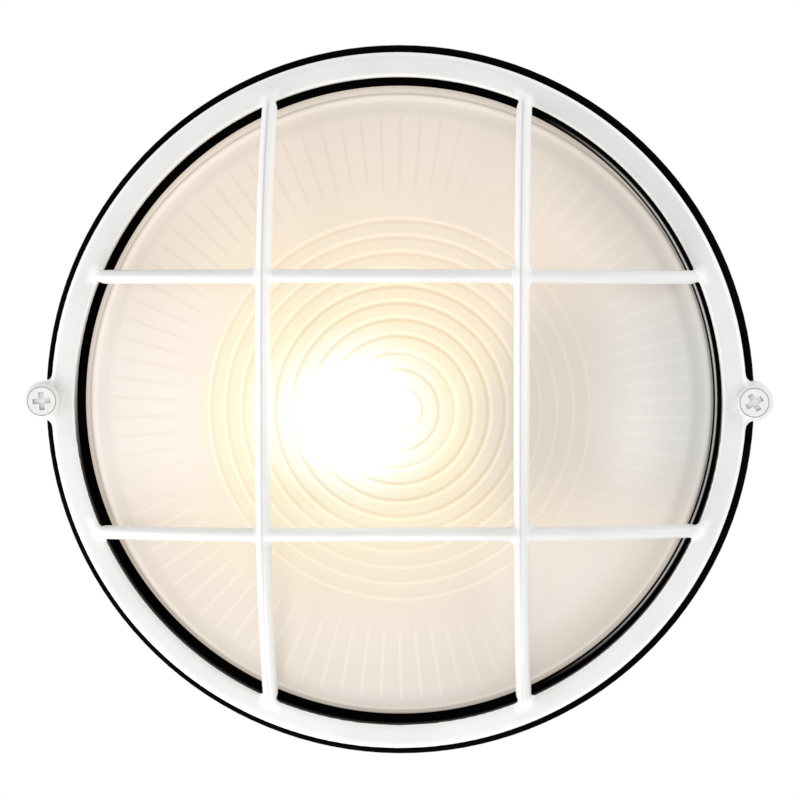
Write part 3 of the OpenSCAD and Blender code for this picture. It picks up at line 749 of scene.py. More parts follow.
    def flute_lines(self, kit: LensShader, glow: Wire) -> Wire:
        """Adds painted shade and painted light along the thin lines between the radial flutes, dark above
        and light at the foot and right.

        Args:
            kit: the material's tree.
            glow: the emitted colour so far.

        Returns:
            The emitted colour with its flutes.
        """
        count = self.sizes.flute_count
        turns = kit.math("ARCTAN2", kit.lift, kit.side) * (count / (2.0 * math.pi))
        starts = kit.fade(kit.spread - self.sizes.flute_start, self.flute_fade_in)
        ends = kit.fade(kit.spread - self.sizes.flute_end, self.flute_fade_out)
        thin = kit.line(kit.math("FRACT", turns + count), *self.flute_line)
        flutes = self.flute_strength * thin * starts * ends
        low = kit.area(self.low_flutes)
        right = kit.area(self.right_flutes)
        dark = flutes * (1.0 - low) * kit.area(self.dark_flutes)
        # painted shade on the flutes above, painted light at the foot and right below
        glow = kit.mix(dark, glow, self.flute_tint, "MULTIPLY")
        light = kit.math("MAXIMUM", low, right) * (1.0 - self.right_loss * right)
        light = light * (1.0 - self.corner_loss * right * low)
        return kit.mix(self.flute_light * flutes * light, glow, self.line_light, "ADD")

    def edge_lines(self, kit: LensShader, glow: Wire) -> Wire:
        """Adds the clear shoulder's painted highlight line and the painted shade where the glass turns down
        at the gasket.

        Args:
            kit: the material's tree.
            glow: the emitted colour so far.

        Returns:
            The emitted colour with its edge.
        """
        low = kit.area(self.low_edge)
        right = kit.area(self.right_edge)

        def mask(inset: Wire, line: EdgeLine) -> Wire:
            """Mask of one line, at its strength on each side."""
            strength = line.strength + line.low * low + line.right * right
            return kit.stripe(inset, (line.place, line.half_width)) * strength

        inset = kit.rim - self.sizes.radius
        outward = self.edge_out * kit.fade(kit.across - kit.up, self.edge_out_reach)
        turned = inset - outward + kit.area(self.edge_in)
        # painted shade at the glass's turn, then painted highlights along the shoulder and rim
        dark = kit.math("MAXIMUM", mask(turned, self.dark_line), mask(inset, self.fine_line))
        glow = kit.mix(dark, glow, self.edge_tint, "MULTIPLY")
        glow = kit.mix(mask(turned, self.band_line), glow, self.band_tint, "MULTIPLY")
        glow = kit.mix(mask(turned, self.shoulder_line), glow, self.shoulder_light, "ADD")
        return kit.mix(mask(inset, self.rim_line), glow, self.rim_light, "ADD")


class GeometryTree(NodeKit):
    """Geometry Nodes tree with named inputs that ends in real meshes of one material."""

    def __init__(self, name: str) -> None:
        """Starts an empty tree with a geometry input."""
        super().__init__(bpy.data.node_groups.new(name, "GeometryNodeTree"))
        self.values: dict[str, float] = {}
        for way in ("INPUT", "OUTPUT"):
            self.tree.interface.new_socket("Geometry", in_out=way, socket_type="NodeSocketGeometry")
        self.entry = self.node("NodeGroupInput")

    def size(self, name: str, value: float) -> Wire:
        """Named input for a size.

        Args:
            name: the input's name in the modifier.
            value: what this piece uses.

        Returns:
            The input as a wire.
        """
        socket = self.tree.interface.new_socket(name, in_out="INPUT", socket_type="NodeSocketFloat")
        self.values[socket.identifier] = value
        return self.entry.twin(name)

    def move(self, geometry: Wire, place: Any, turn: Place = (0.0, 0.0, 0.0)) -> Wire:
        """Geometry at a place, turned by angles round the axes."""
        sockets = {"Geometry": geometry, "Translation": place, "Rotation": turn}
        return self.node("GeometryNodeTransform", None, sockets)

    def merge(self, *parts: Wire) -> Wire:
        """Several geometries in one.

        Args:
            parts: the geometries, in order.

        Returns:
            The joined geometry.
        """
        joined = self.node("GeometryNodeJoinGeometry")
        for part in reversed(parts):
            self.tree.links.new(part.socket, joined.socket.node.inputs[0])
        return joined

    def close(self, geometry: Wire, material: bpy.types.Material) -> None:
        """Ends the tree in Realize Instances and Set Material.

        Args:
            geometry: what the tree has made.
            material: the material of all of it.
        """
        real = self.node("GeometryNodeRealizeInstances", None, {"Geometry": geometry})
        dressed = self.node("GeometryNodeSetMaterial", None, {"Geometry": real, "Material": material})
        self.node("NodeGroupOutput", None, {0: dressed})

    def apply(self, piece: bpy.types.Object) -> None:
        """Runs the tree on a piece and keeps the result as its plain mesh.

        Args:
            piece: the piece, whose mesh enters the tree.
        """
        modifier = piece.modifiers.new(self.tree.name, "NODES")
        modifier.node_group = self.tree
        for identifier, value in self.values.items():
            modifier[identifier] = value
        settle(piece)


@dataclass(frozen=True)
class Thread:
    """Round bead wound up the z axis, as the thread of a screw or a cap."""

    radius: float
    start: float
    length: float
    pitch: float
    bead: float
    steps: int
    sides: int

    def wind(self, tree: GeometryTree) -> Wire:
        """Adds the thread's nodes to a tree.

        Args:
            tree: the tree.

        Returns:
            The thread's mesh.
        """
        pitch = tree.size("Thread Pitch", self.pitch)
        length = tree.size("Thread Length", self.length)
        helix = tree.node("GeometryNodeCurveSpiral", None, {
            "Resolution": self.steps, "Rotations": length / pitch, "Height": length,
            "Start Radius": self.radius, "End Radius": self.radius})
        bead = tree.node("GeometryNodeCurvePrimitiveCircle", None,
                         {"Resolution": self.sides, "Radius": self.bead})
        wound = tree.node("GeometryNodeCurveToMesh", None,
                          {"Curve": helix, "Profile Curve": bead, "Fill Caps": True})
        return tree.move(wound, (0.0, 0.0, self.start))


def settle(piece: bpy.types.Object) -> None:
    """Turns a piece with its modifiers into a plain mesh.

    Args:
        piece: the piece.
    """
    graph = bpy.context.evaluated_depsgraph_get()
    mesh = bpy.data.meshes.new_from_object(piece.evaluated_get(graph))
    piece.modifiers.clear()
    old = piece.data
    piece.data = mesh
    bpy.data.meshes.remove(old)
    mesh.name = piece.name


def grow_casting(piece: bpy.types.Object, voxel: float, passes: int) -> None:
    """Grows the shells of a piece together, with the soft edges of a painted casting.

    Args:
        piece: the piece.
        voxel: size of the cells that it is grown in.
        passes: how often its edges are softened.
    """
    remesh = piece.modifiers.new("cast", "REMESH")
    remesh.mode = "VOXEL"
    remesh.voxel_size = voxel
    soft = piece.modifiers.new("soften", "SMOOTH")
    soft.factor = 0.5
    soft.iterations = passes
    settle(piece)


def new_piece(name: str, mesh: bpy.types.Mesh) -> bpy.types.Object:
    """Adds an object of that mesh to the scene, at the origin.

    Args:
        name: the piece's name.
        mesh: its mesh.

    Returns:
        The piece.
    """
    piece = bpy.data.objects.new(name, mesh)
    bpy.context.scene.collection.objects.link(piece)
    return piece


def mesh_of(name: str, draw: Callable[[bmesh.types.BMesh], None]) -> bpy.types.Mesh:
    """Mesh that a drawing function fills, with doubles merged and faces outwards.

    Args:
        name: the mesh's name.
        draw: draws closed shells.

    Returns:
        The mesh.
    """
    shape = bmesh.new()
    draw(shape)
    bmesh.ops.remove_doubles(shape, verts=shape.verts, dist=DOUBLES)
    bmesh.ops.recalc_face_normals(shape, faces=shape.faces)
    mesh = bpy.data.meshes.new(name)
    shape.to_mesh(mesh)
    shape.free()
    return mesh


def revolve(shape: bmesh.types.BMesh, profile: Sequence[Point], steps: int) -> None:
    """Turns a closed profile round the z axis.

    Args:
        shape: what the faces go into.
        profile: its points as radius and height.
        steps: how many faces a full turn has.
    """
    turns = [2.0 * math.pi * step / steps for step in range(steps)]
    rows = [
        [shape.verts.new((radius * math.cos(turn), radius * math.sin(turn), height)) for turn in turns]
        for radius, height in profile
    ]
    for row, below in zip(rows, rows[1:] + rows[:1]):
        wall(shape, row, below)


def wall(shape: bmesh.types.BMesh, row: Row, other: Row) -> None:
    """Closes the room between two rows of points with faces, all the way round.

    Args:
        shape: what the faces go into.
        row: the first row.
        other: the second row, with as many points.
    """
    for step in range(len(row)):
        after = (step + 1) % len(row)
        shape.faces.new((row[step], row[after], other[after], other[step]))


def turned_piece(name: str, profile: Sequence[Point], steps: int) -> bpy.types.Object:
    """New piece of a closed profile turned round the z axis."""
    return new_piece(name, mesh_of(name, lambda shape: revolve(shape, profile, steps)))


def arc(centre: Point, radius: float, start: float, end: float, steps: int) -> list[Point]:
    """Points of an arc from one angle to another, in degrees."""
    angles = [math.radians(start + (end - start) * step / steps) for step in range(steps + 1)]
    return [(centre[0] + radius * math.cos(a), centre[1] + radius * math.sin(a)) for a in angles]


def dress(piece: bpy.types.Object, sharp: float, material: bpy.types.Material, body: Body, slot: Slot,
          *nodes: str) -> None:
    """Shades a finished piece and gives it its material and body.

    Args:
        piece: the finished piece, standing at the origin.
        sharp: angle in degrees over which its edges stay sharp.
        material: its material.
        body: the body that it rides on.
        slot: the record's slot of its finish; not used.
        nodes: CAD nodes that it stands for.
    """
    piece.data.shade_smooth()
    piece.data.set_sharp_from_angle(angle=math.radians(sharp))
    piece.data.materials.clear()
    piece.data.materials.append(material)
    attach(piece, body.value)
    if nodes:
        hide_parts(*nodes)
    LOG.info("%s: %d faces", piece.name, len(piece.data.polygons))


@dataclass(frozen=True)
class Arch:
    """Inputs of the bar tree that all bars share."""

    half_span: Wire
    rise: Wire
    front: Wire
    power: Wire
    depth: Wire
    nose: Wire


@dataclass
class GuardCage:
    """Guard casting: ring, ears and four arched bars grown together with soft fillets.

    Spans of the coat's marks are in millimetres, and so are its lines, as a place and a half width.
    """

    inner_radius: float = 92.4 * MM
    outer_radius: float = 99.4 * MM
    back: float = 61.0 * MM
    front: float = 67.5 * MM
    inner_round: float = 0.9 * MM
    outer_round: float = 1.4 * MM
    ring_steps: int = 288
    ear_back: float = 54.0 * MM
    ear_radius: float = 5.5 * MM
    ear_bevel: float = 0.6 * MM
    ear_steps: int = 40
    web_spread: float = 1.6 * MM
    web_root: float = 3.0 * MM
    screw_offset: float = 101.5 * MM
    screw_seat: float = 67.8 * MM
    bore_radius: float = 2.62 * MM
    bore_length: float = 30.0 * MM
    bore_steps: int = 48
    ridge_top: float = 94.45 * MM
    upright_offset: float = 36.2 * MM
    upright_bow: float = 0.0
    upper_offset: float = 35.4 * MM
    upper_bow: float = 0.6 * MM
    lower_offset: float = 37.1 * MM
    lower_bow: float = -0.8 * MM
    lower_tilt: float = 0.36
    upright_width: float = 4.6 * MM
    level_width: float = 4.1 * MM
    bar_depth: float = 5.0 * MM
    bar_front: float = 3.0 * MM
    bar_steps: int = 181
    bar_sides: int = 25
    tip_start: float = 0.955
    tip_sink: float = 0.4
    back_flat: float = 1.15
    arch_power: float = 3.0
    voxel: float = 0.7 * MM
    soften: int = 5
    sharp: float = 50.0
    thin_coat: Colour = (0.97, 0.97, 0.965)
    bar_coat: Colour = (0.93, 0.93, 0.92)
    crease: Colour = (0.62, 0.62, 0.61)
    crease_strength: float = 0.8
    tip_strength: float = 0.9
    lip_shade: Colour = (0.004, 0.004, 0.004)
    inner_edge: Span = (0.2, 0.9)
    outer_edge: Span = (-0.4, 1.0)
    ring_face: Span = (-0.5, -0.1)
    bar_face: Span = (-0.8, -2.0)
    bar_side: Span = (2.9, 2.5)
    upper_bars: Span = (-50.0, 20.0)
    lit_side: Span = (-0.4, -0.9)
    crease_line: Span = (-0.25, 0.55)
    tip_side: Span = (3.4, 1.6)
    tip_line: Span = (1.6, 2.6)
    lip_line: Span = (0.0, 0.7)
    lip_depth: Span = (0.45, 0.65)
    lip_range: Span = (0.1, 0.4)
    lip_low: Span = (25.0, -20.0)

    def build(self, coat: Enamel) -> None:
        """Grows ring, ears and bars into one casting.

        Args:
            coat: the casting's finish.
        """
        enamel = coat.material("guard_enamel", self.cast_marks)
        piece = new_piece("guard_casting", mesh_of("guard_ring", self.draw_ring))
        self.bar_tree(enamel).apply(piece)
        grow_casting(piece, self.voxel, self.soften)
        self.bore(piece)
        piece.data.transform(STAND_UP)
        dress(piece, self.sharp, enamel, Body.COVER, Slot.ENAMEL, "guard")

    def cast_marks(self, kit: Shader, coat: Wire) -> Wire:
        """Paints highlights on the ring's edges, the upper bars and the bar tips, painted shade along the
        uprights, and painted black shade on the ring's inner wall at the gasket.

        Args:
            kit: the material's tree.
            coat: the coat's colour.

        Returns:
            The colour with its marks.
        """
        across, out, up = kit.split(kit.place)
        sunk = out + self.front
        rim = kit.distance(across, up)
        inset = rim - self.inner_radius
        outer = kit.stripe(rim - self.outer_radius, self.outer_edge)
        edges = kit.math("MAXIMUM", kit.stripe(inset, self.inner_edge), outer)
        # painted highlights along the ring's front edges
        coat = kit.mix(kit.fade(sunk, self.ring_face) * edges, coat, self.thin_coat)
        aside = self.off_bar(kit, across)
        upright = kit.fade(sunk, self.bar_face) * kit.fade(abs(aside), self.bar_side)
        upper = upright * kit.fade(up, self.upper_bars)
        # painted light on the upper halves of the uprights, brightest on their left flanks
        coat = kit.mix(upper, coat, self.bar_coat)
        coat = kit.mix(upper * kit.fade(aside, self.lit_side), coat, self.thin_coat)
        # painted shade in a thin line just left of each upright's middle
        shaded_line_mask = self.crease_strength * upright * kit.stripe(aside, self.crease_line)
        coat = kit.mix(shaded_line_mask, coat, self.crease)
        near = kit.math("MINIMUM", abs(aside), abs(self.off_bar(kit, up)))
        # painted highlights where the bars meet the ring
        tip = kit.fade(near, self.tip_side) * kit.stripe(inset, self.tip_line)
        coat = kit.mix(self.tip_strength * tip, coat, self.thin_coat)
        # painted black shade on the ring's inner wall, strongest towards the bottom
        lip = kit.stripe(inset, self.lip_line) * kit.fade(sunk, self.lip_depth)
        return kit.mix(kit.step(lip, *self.lip_range) * kit.fade(up, self.lip_low), coat, self.lip_shade)

    def off_bar(self, kit: Shader, across: Wire) -> Wire:
        """Signed distance from the nearer bar of a pair, in the coordinate that they stand apart in."""
        return across - kit.math("SIGN", across) * self.upright_offset

    def draw_ring(self, shape: bmesh.types.BMesh) -> None:
        """Draws the ring and its two ears as closed shells.

        Args:
            shape: what the faces go into.
        """
        outer = arc((self.outer_radius - self.outer_round, self.front - self.outer_round),
                    self.outer_round, 0.0, 90.0, 6)
        inner = arc((self.inner_radius + self.inner_round, self.front - self.inner_round),
                    self.inner_round, 90.0, 180.0, 5)
        foot = [(self.inner_radius, self.back), (self.outer_radius, self.back)]
        revolve(shape, outer + inner + foot, self.ring_steps)
        post = (self.ear_back, self.screw_seat, self.post())
        web = (self.back, self.front - self.outer_round, self.web())
        for side in SIDES:
            for low, top, outline in (post, web):
                self.draw_block(shape, side, low, top, outline)

    def draw_block(self, shape: bmesh.types.BMesh, side: float, low: float, top: float,
                   outline: Sequence[Point]) -> None:
        """Draws one block of an ear, with a bevel round its top.

        Args:
            shape: what the faces go into.
            side: -1 for the left ear and 1 for the right one.
            low: height of its foot.
            top: height of its top.
            outline: its outline on the right side.
        """
        rows = []
        for level, inset in ((low, 0.0), (top - self.ear_bevel, 0.0), (top, self.ear_bevel)):
            shrink = 1.0 - inset / self.ear_radius
            spots = [(self.screw_offset + (x - self.screw_offset) * shrink, y * shrink) for x, y in outline]
            rows.append([shape.verts.new((side * x, y, level)) for x, y in spots])
        for row, above in zip(rows, rows[1:]):
            wall(shape, row, above)
        shape.faces.new(rows[0])
        shape.faces.new(rows[-1])

    def post(self) -> list[Point]:
        """Outline of the round post under the screw."""
        last = 360.0 * (1.0 - 1.0 / self.ear_steps)
        return arc((self.screw_offset, 0.0), self.ear_radius, 0.0, last, self.ear_steps - 1)

    def web(self) -> list[Point]:
        """Outline of the ear from its round end to inside the ring, spreading a little at its root.

        Returns:
            The outline on the right side.
        """
        spread = self.ear_radius + self.web_spread
        flank = [
            (self.outer_radius + 1.0 * MM, self.ear_radius + 0.1 * MM),
            (self.outer_radius - 0.3 * MM, spread),
            (self.outer_radius - self.web_root, spread),
        ]
        end = arc((self.screw_offset, 0.0), self.ear_radius, -90.0, 90.0, self.ear_steps // 2)
        return end + flank + [(x, -y) for x, y in reversed(flank)]

    def bore(self, piece: bpy.types.Object) -> None:
        """Drills the screw bores through both ears.

        Args:
            piece: the guard, lying on the bench.
        """
        def draw(shape: bmesh.types.BMesh) -> None:
            """Draws both drills."""
            for side in SIDES:
                place = Matrix.Translation((side * self.screw_offset, 0.0, (self.back + self.front) / 2.0))
                bmesh.ops.create_cone(
                    shape, cap_ends=True, segments=self.bore_steps, radius1=self.bore_radius,
                    radius2=self.bore_radius, depth=self.bore_length, matrix=place)

        drill = new_piece("drill", mesh_of("drill", draw))
        cut = piece.modifiers.new("bore", "BOOLEAN")
        cut.operation = "DIFFERENCE"
        cut.object = drill
        settle(piece)
        bpy.data.objects.remove(drill)

    def bar_tree(self, enamel: bpy.types.Material) -> GeometryTree:
        """Geometry Nodes tree that adds the two upright and two level bars to the ring.

        Args:
            enamel: the guard's finish.

        Returns:
            The tree.
        """
        tree = GeometryTree("arched_bars")
        middle = (self.inner_radius + self.outer_radius) / 2.0
        arch = Arch(
            half_span=tree.size("Half Span", math.sqrt(middle ** 2 - self.upright_offset ** 2)),
            rise=tree.size("Rise", self.ridge_top - self.front),
            front=tree.size("Ring Front", self.front),
            power=tree.size("Arch Power", self.arch_power),
            depth=tree.size("Bar Depth", self.bar_depth),
            nose=tree.size("Bar Nose", self.bar_front),
        )
        level_width = tree.size("Level Width", self.level_width)
        upper = self.one_bar(tree, arch, tree.size("Upper Bow", self.upper_bow), level_width)
        upper = tree.move(upper, tree.join(0.0, tree.size("Upper Offset", self.upper_offset), 0.0))
        lower = self.one_bar(tree, arch, tree.size("Lower Bow", self.lower_bow), level_width)
        lower = tree.move(lower, tree.join(0.0, -tree.size("Lower Offset", self.lower_offset), 0.0),
                          (0.0, 0.0, math.pi + math.radians(self.lower_tilt)))
        upright = self.one_bar(tree, arch, tree.size("Upright Bow", self.upright_bow),
                               tree.size("Upright Width", self.upright_width))
        uprights = self.upright_pair(tree, upright, tree.size("Upright Offset", self.upright_offset))
        tree.close(tree.merge(tree.entry, upper, lower, uprights), enamel)
        return tree

    @staticmethod
    def upright_pair(tree: GeometryTree, bar: Wire, offset: Wire) -> Wire:
        """Sets a bar upright at two opposite places, bowed away from the middle.

        Args:
            tree: the tree that the nodes go into.
            bar: the bar's mesh.
            offset: distance of each from the middle.

        Returns:
            The two bars as instances.
        """
        places = tree.node("GeometryNodeMeshLine", {"mode": "END_POINTS"}, {
            "Count": len(SIDES), "Start Location": tree.join(-offset, 0.0, 0.0),
            "Offset": tree.join(offset, 0.0, 0.0)})
        facing = tree.join(0.0, 0.0, tree.node("GeometryNodeInputIndex") * math.pi + math.pi / 2.0)
        rotation = tree.node("FunctionNodeEulerToRotation", None, {"Euler": facing})
        return tree.node("GeometryNodeInstanceOnPoints", None,
                         {"Points": places, "Instance": bar, "Rotation": rotation})

    def one_bar(self, tree: GeometryTree, arch: Arch, bow: Wire, width: Wire) -> Wire:
        """Bends a grid into one arched bar along x, bowed towards +y and closed at its rounded tips.

        Args:
            tree: the tree that the nodes go into.
            arch: sizes that all bars share.
            bow: how far the middle stands out in plan.
            width: width of the bar.

        Returns:
            The bar's mesh.
        """
        grid = tree.node("GeometryNodeMeshGrid", None, {
            "Size X": 2.0, "Size Y": 2.0 * math.pi,
            "Vertices X": self.bar_steps, "Vertices Y": self.bar_sides})
        share, turn, _ = tree.split(tree.node("GeometryNodeInputPosition"))
        reach = abs(share)
        ridge = arch.front + arch.rise * (1.0 - reach ** arch.power)
        steepness = -arch.rise / arch.half_span * arch.power * reach ** (arch.power - 1.0)
        slope = steepness * tree.math("SIGN", share)
        length = tree.math("SQRT", 1.0 + slope * slope)
        tip = tree.math("SQRT", tree.math("MAXIMUM", 1.0 - tree.step(reach, self.tip_start, 1.0), 0.0))
        across = tree.math("COSINE", turn) * width * 0.5 * tip + bow * (1.0 - share * share)
        sine = tree.math("SINE", turn)
        front_half = arch.nose * (tree.math("MAXIMUM", sine, 0.0) - 1.0)
        back_turn = tree.math("MINIMUM", tree.math("MAXIMUM", sine * self.back_flat, -1.0), 0.0)
        drop = (front_half + (arch.depth - arch.nose) * back_turn) * tip
        drop = drop + (tip - 1.0) * arch.depth * self.tip_sink
        place = tree.join(share * arch.half_span - slope / length * drop, across, ridge + drop / length)
        bent = tree.node("GeometryNodeSetPosition", None, {"Geometry": grid, "Position": place})
        return tree.node("GeometryNodeMergeByDistance", None, {"Geometry": bent, "Distance": 2.0 * DOUBLES})


@dataclass
class PressedLens:
    """Pressed glass lens: smooth dome outside, rings and radial flutes pressed inside."""

    sizes: LensSizes
    steps: int = 540
    dome_rows: int = 30
    inside_rows: int = 90
    ring_power: float = 1.6
    ring_ending: float = 0.3
    flute_power: float = 1.5
    flute_run: float = 1.5 * MM
    inside_depth: Span = (2.0, 3.0)
    wall_room: float = 0.6 * MM
    sharp: float = 60.0

    def build(self, glass: bpy.types.Material) -> None:
        """Revolves the blank and presses the pattern into its inside.

        Args:
            glass: the lens's finish.
        """
        piece = turned_piece("pressed_lens", self.profile(), self.steps)
        self.press_tree(glass).apply(piece)
        piece.data.transform(STAND_UP)
        dress(piece, self.sharp, glass, Body.COVER, Slot.LENS, "glass_lens")

    def profile(self) -> list[Point]:
        """Closed profile of the blank: dome, shoulder, wall, flange and the inside of the dome.

        Returns:
            The profile as radius and height.
        """
        s = self.sizes
        reach = s.radius - s.shoulder
        tangent = math.asin(reach / (s.dome_radius - s.shoulder))
        slopes = [tangent * row / self.dome_rows for row in range(self.dome_rows)]
        dome = [(s.dome_radius * math.sin(a), s.dome_centre + s.dome_radius * math.cos(a)) for a in slopes]
        shoulder = arc((reach, s.shoulder_level), s.shoulder, 90.0 - math.degrees(tangent), 0.0, 8)
        bevel = s.flange_bevel
        flange = [
            (s.radius, s.flange_front), (s.flange_radius - bevel, s.flange_front),
            (s.flange_radius, s.flange_front - bevel), (s.flange_radius, s.back + bevel),
            (s.flange_radius - bevel, s.back), (s.flute_end + bevel, s.back), (s.flute_end, s.back + bevel),
        ]
        inner = s.dome_radius - s.thickness
        radii = [s.flute_end * row / self.inside_rows for row in range(self.inside_rows, -1, -1)]
        inside = [(radius, s.dome_centre + math.sqrt(inner ** 2 - radius ** 2)) for radius in radii]
        return dome + shoulder + flange + inside

    def press_tree(self, glass: bpy.types.Material) -> GeometryTree:
        """Geometry Nodes tree that presses the rings and the flutes into the inside of the dome.

        Args:
            glass: the lens's finish.

        Returns:
            The tree.
        """
        s = self.sizes
        tree = GeometryTree("pressed_pattern")
        pitch = tree.size("Ring Pitch", s.ring_pitch)
        count = tree.size("Ring Count", float(s.ring_count))
        ring_relief = tree.size("Ring Relief", s.ring_relief)
        flutes = tree.size("Flute Count", float(s.flute_count))
        start = tree.size("Flute Start", s.flute_start)
        flute_relief = tree.size("Flute Relief", s.flute_relief)
        x, y, z = tree.split(tree.node("GeometryNodeInputPosition"))
        lift = y + tree.size("Pattern Drop", s.pattern_drop)
        side = x - tree.size("Pattern Side", s.pattern_side)
        spread = tree.distance(side, lift)
        radius = tree.distance(x, y)
        outside = tree.math("SQRT", s.dome_radius ** 2 - radius * radius) + s.dome_centre
        within = tree.fade(outside - z, self.inside_depth)
        within = within * tree.step(radius, s.flute_end, s.flute_end - self.wall_room)
        bead = tree.math("COSINE", (tree.math("FRACT", spread / pitch) - 0.5) * (2.0 * math.pi)) * 0.5 + 0.5
        ring_end = tree.step(spread, pitch * count, pitch * (count - self.ring_ending))
        rings = ring_relief * bead ** self.ring_power * ring_end
        rib = tree.math("COSINE", tree.math("ARCTAN2", lift, side) * flutes) * 0.5 + 0.5
        ribs = flute_relief * rib ** self.flute_power * tree.step(spread, start, start + self.flute_run)
        sink = tree.join(0.0, 0.0, -1.0 * within * (rings + ribs))
        pressed = tree.node("GeometryNodeSetPosition", None, {"Geometry": tree.entry, "Offset": sink})
        tree.close(pressed, glass)
        return tree


@dataclass
class CoverScrew:
    """White pan-head screw with a cross recess, a turned rim and a threaded end."""

    name: str
    node: str
    body: Body
    side: float
    turn: float
    offset: float = 101.5 * MM
    seat: float = 67.8 * MM
    steps: int = 72
    head_radius: float = 5.05 * MM
    head_height: float = 3.2 * MM
    head_round: float = 1.2 * MM
    head_dish: float = 0.06 * MM
    head_bevel: float = 0.1 * MM
    shank_radius: float = 2.42 * MM
    shank_end: float = 41.0 * MM
    thread_pitch: float = 0.8 * MM
    thread_length: float = 14.0 * MM
    thread_bead: float = 0.17 * MM
    thread_sink: float = 0.1 * MM
    thread_lift: float = 1.0 * MM
    end_narrowing: float = 0.6 * MM
    end_bevel: float = 0.8 * MM
    sharp: float = 32.0
    groove_share: float = 0.81
    groove_half: float = 0.22 * MM
    groove_deep: float = 0.3 * MM
    groove_lip: float = 0.08 * MM
    recess_share: float = 0.2
    recess_span: float = 1.04
    recess_arm: float = 0.3
    recess_taper: float = 0.2
    grime: Colour = (0.36, 0.36, 0.35)
    wall_top: Span = (0.06, 0.16)
    wall_foot: Span = (-0.04, -0.16)
    recess_edge: Span = (0.62, 0.58)
    groove_line: Span = (0.0, 0.28)
    groove_depth: Span = (1.2, 0.9)
    groove_grime: float = 0.7

    def build(self, coat: Enamel) -> None:
        """Turns the screw, sinks its recess and winds its thread.

        Args:
            coat: the screw's finish.
        """
        enamel = coat.material(self.name + "_enamel", self.settled_grey)
        piece = turned_piece(self.name, self.profile(), self.steps)
        self.recess_tree(enamel).apply(piece)
        place = Matrix.Translation((self.side * self.offset, 0.0, self.seat))
        piece.data.transform(STAND_UP @ place @ Matrix.Rotation(math.radians(self.turn), 4, "Z"))
        dress(piece, self.sharp, enamel, self.body, Slot.ENAMEL, self.node)

    def settled_grey(self, kit: Shader, coat: Wire) -> Wire:
        """Paints shade on the walls of the cross recess and in the turned groove, where these hollows lie in
        shade.

        Args:
            kit: the material's tree.
            coat: the coat's colour.

        Returns:
            The colour with its grey.
        """
        across, out, up = kit.split(kit.place)
        spread = kit.distance(across - self.side * self.offset, up)
        sunk = out + self.seat + self.head_height
        floor = self.recess_share * self.head_height
        walls = kit.fade(sunk, self.wall_top) * kit.fade(sunk - floor, self.wall_foot)
        recess = walls * kit.step(spread / self.head_radius, *self.recess_edge)
        groove = kit.stripe(spread - self.groove_share * self.head_radius, self.groove_line)
        groove = groove * kit.fade(sunk, self.groove_depth)
        # painted shade on the recess walls and in the groove
        return kit.mix(kit.math("MAXIMUM", recess, self.groove_grime * groove), coat, self.grime)

    def profile(self) -> list[Point]:
        """Closed profile of head and shank, with a turned groove near the edge of the head's top.

        Returns:
            The profile as radius and height.
        """
        foot = self.shank_end - self.seat
        groove = self.groove_share * self.head_radius
        end = [(AXIS, foot), (self.shank_radius - self.end_narrowing, foot),
               (self.shank_radius, foot + self.end_bevel)]
        under = [(self.shank_radius, 0.0), (self.head_radius - self.head_bevel, 0.0),
                 (self.head_radius, self.head_bevel)]
        edge = arc((self.head_radius - self.head_round, self.head_height - self.head_round),
                   self.head_round, 0.0, 60.0, 6)
        step = [(groove + self.groove_half, self.head_height - self.groove_lip),
                (groove, self.head_height - self.groove_deep), (groove - self.groove_half, self.head_height)]
        return [(AXIS, self.head_height - self.head_dish)] + end + under + edge + step

    def recess_tree(self, enamel: bpy.types.Material) -> GeometryTree:
        """Geometry Nodes tree that cuts the crossed arms and adds the wound thread.

        Args:
            enamel: the screw's finish.

        Returns:
            The tree.
        """
        tree = GeometryTree("cross_recess")
        span = tree.size("Recess Span", self.recess_span * self.head_radius)
        arm = tree.size("Recess Arm", self.recess_arm * self.head_radius)
        depth = tree.size("Recess Depth", self.recess_share * self.head_height)
        block = tree.node("GeometryNodeMeshCube", None, {"Size": tree.join(span, arm, 2.0 * depth)})
        x, y, z = tree.split(tree.node("GeometryNodeInputPosition"))
        narrow = 1.0 + z / depth * self.recess_taper
        bar = tree.node("GeometryNodeSetPosition", None,
                        {"Geometry": block, "Position": tree.join(x * narrow, y * narrow, z)})
        cut = tree.entry
        for turn in (0.0, math.pi / 2.0):
            cutter = tree.move(bar, (0.0, 0.0, self.head_height), (0.0, 0.0, turn))
            cut = tree.node("GeometryNodeMeshBoolean", {"operation": "DIFFERENCE", "solver": "EXACT"},
                            {"Mesh 1": cut, "Mesh 2": cutter})
        thread = Thread(
            radius=self.shank_radius - self.thread_sink, start=self.shank_end - self.seat + self.thread_lift,
            length=self.thread_length, pitch=self.thread_pitch, bead=self.thread_bead, steps=20, sides=6)
        tree.close(tree.merge(cut, thread.wind(tree)), enamel)
        return tree


@dataclass
class CastHousing:
    """Rear dish: the CAD casting grown a little softer at its edges, as a painted casting is."""

    voxel: float = 1.2 * MM
    soften: int = 4
    sharp: float = 50.0

    def build(self, enamel: bpy.types.Material) -> None:
        """Softens a copy of the CAD casting.

        Args:
            enamel: the casting's finish.
        """
        mesh = frame["nodes"]["rear_housing"].data.copy()
        shape = bmesh.new()
        shape.from_mesh(mesh)
        bmesh.ops.remove_doubles(shape, verts=shape.verts, dist=DOUBLES)
        shape.to_mesh(mesh)
        shape.free()
        piece = new_piece("housing_casting", mesh)
        grow_casting(piece, self.voxel, self.soften)
        dress(piece, self.sharp, enamel, Body.HOUSING, Slot.ENAMEL, "rear_housing")


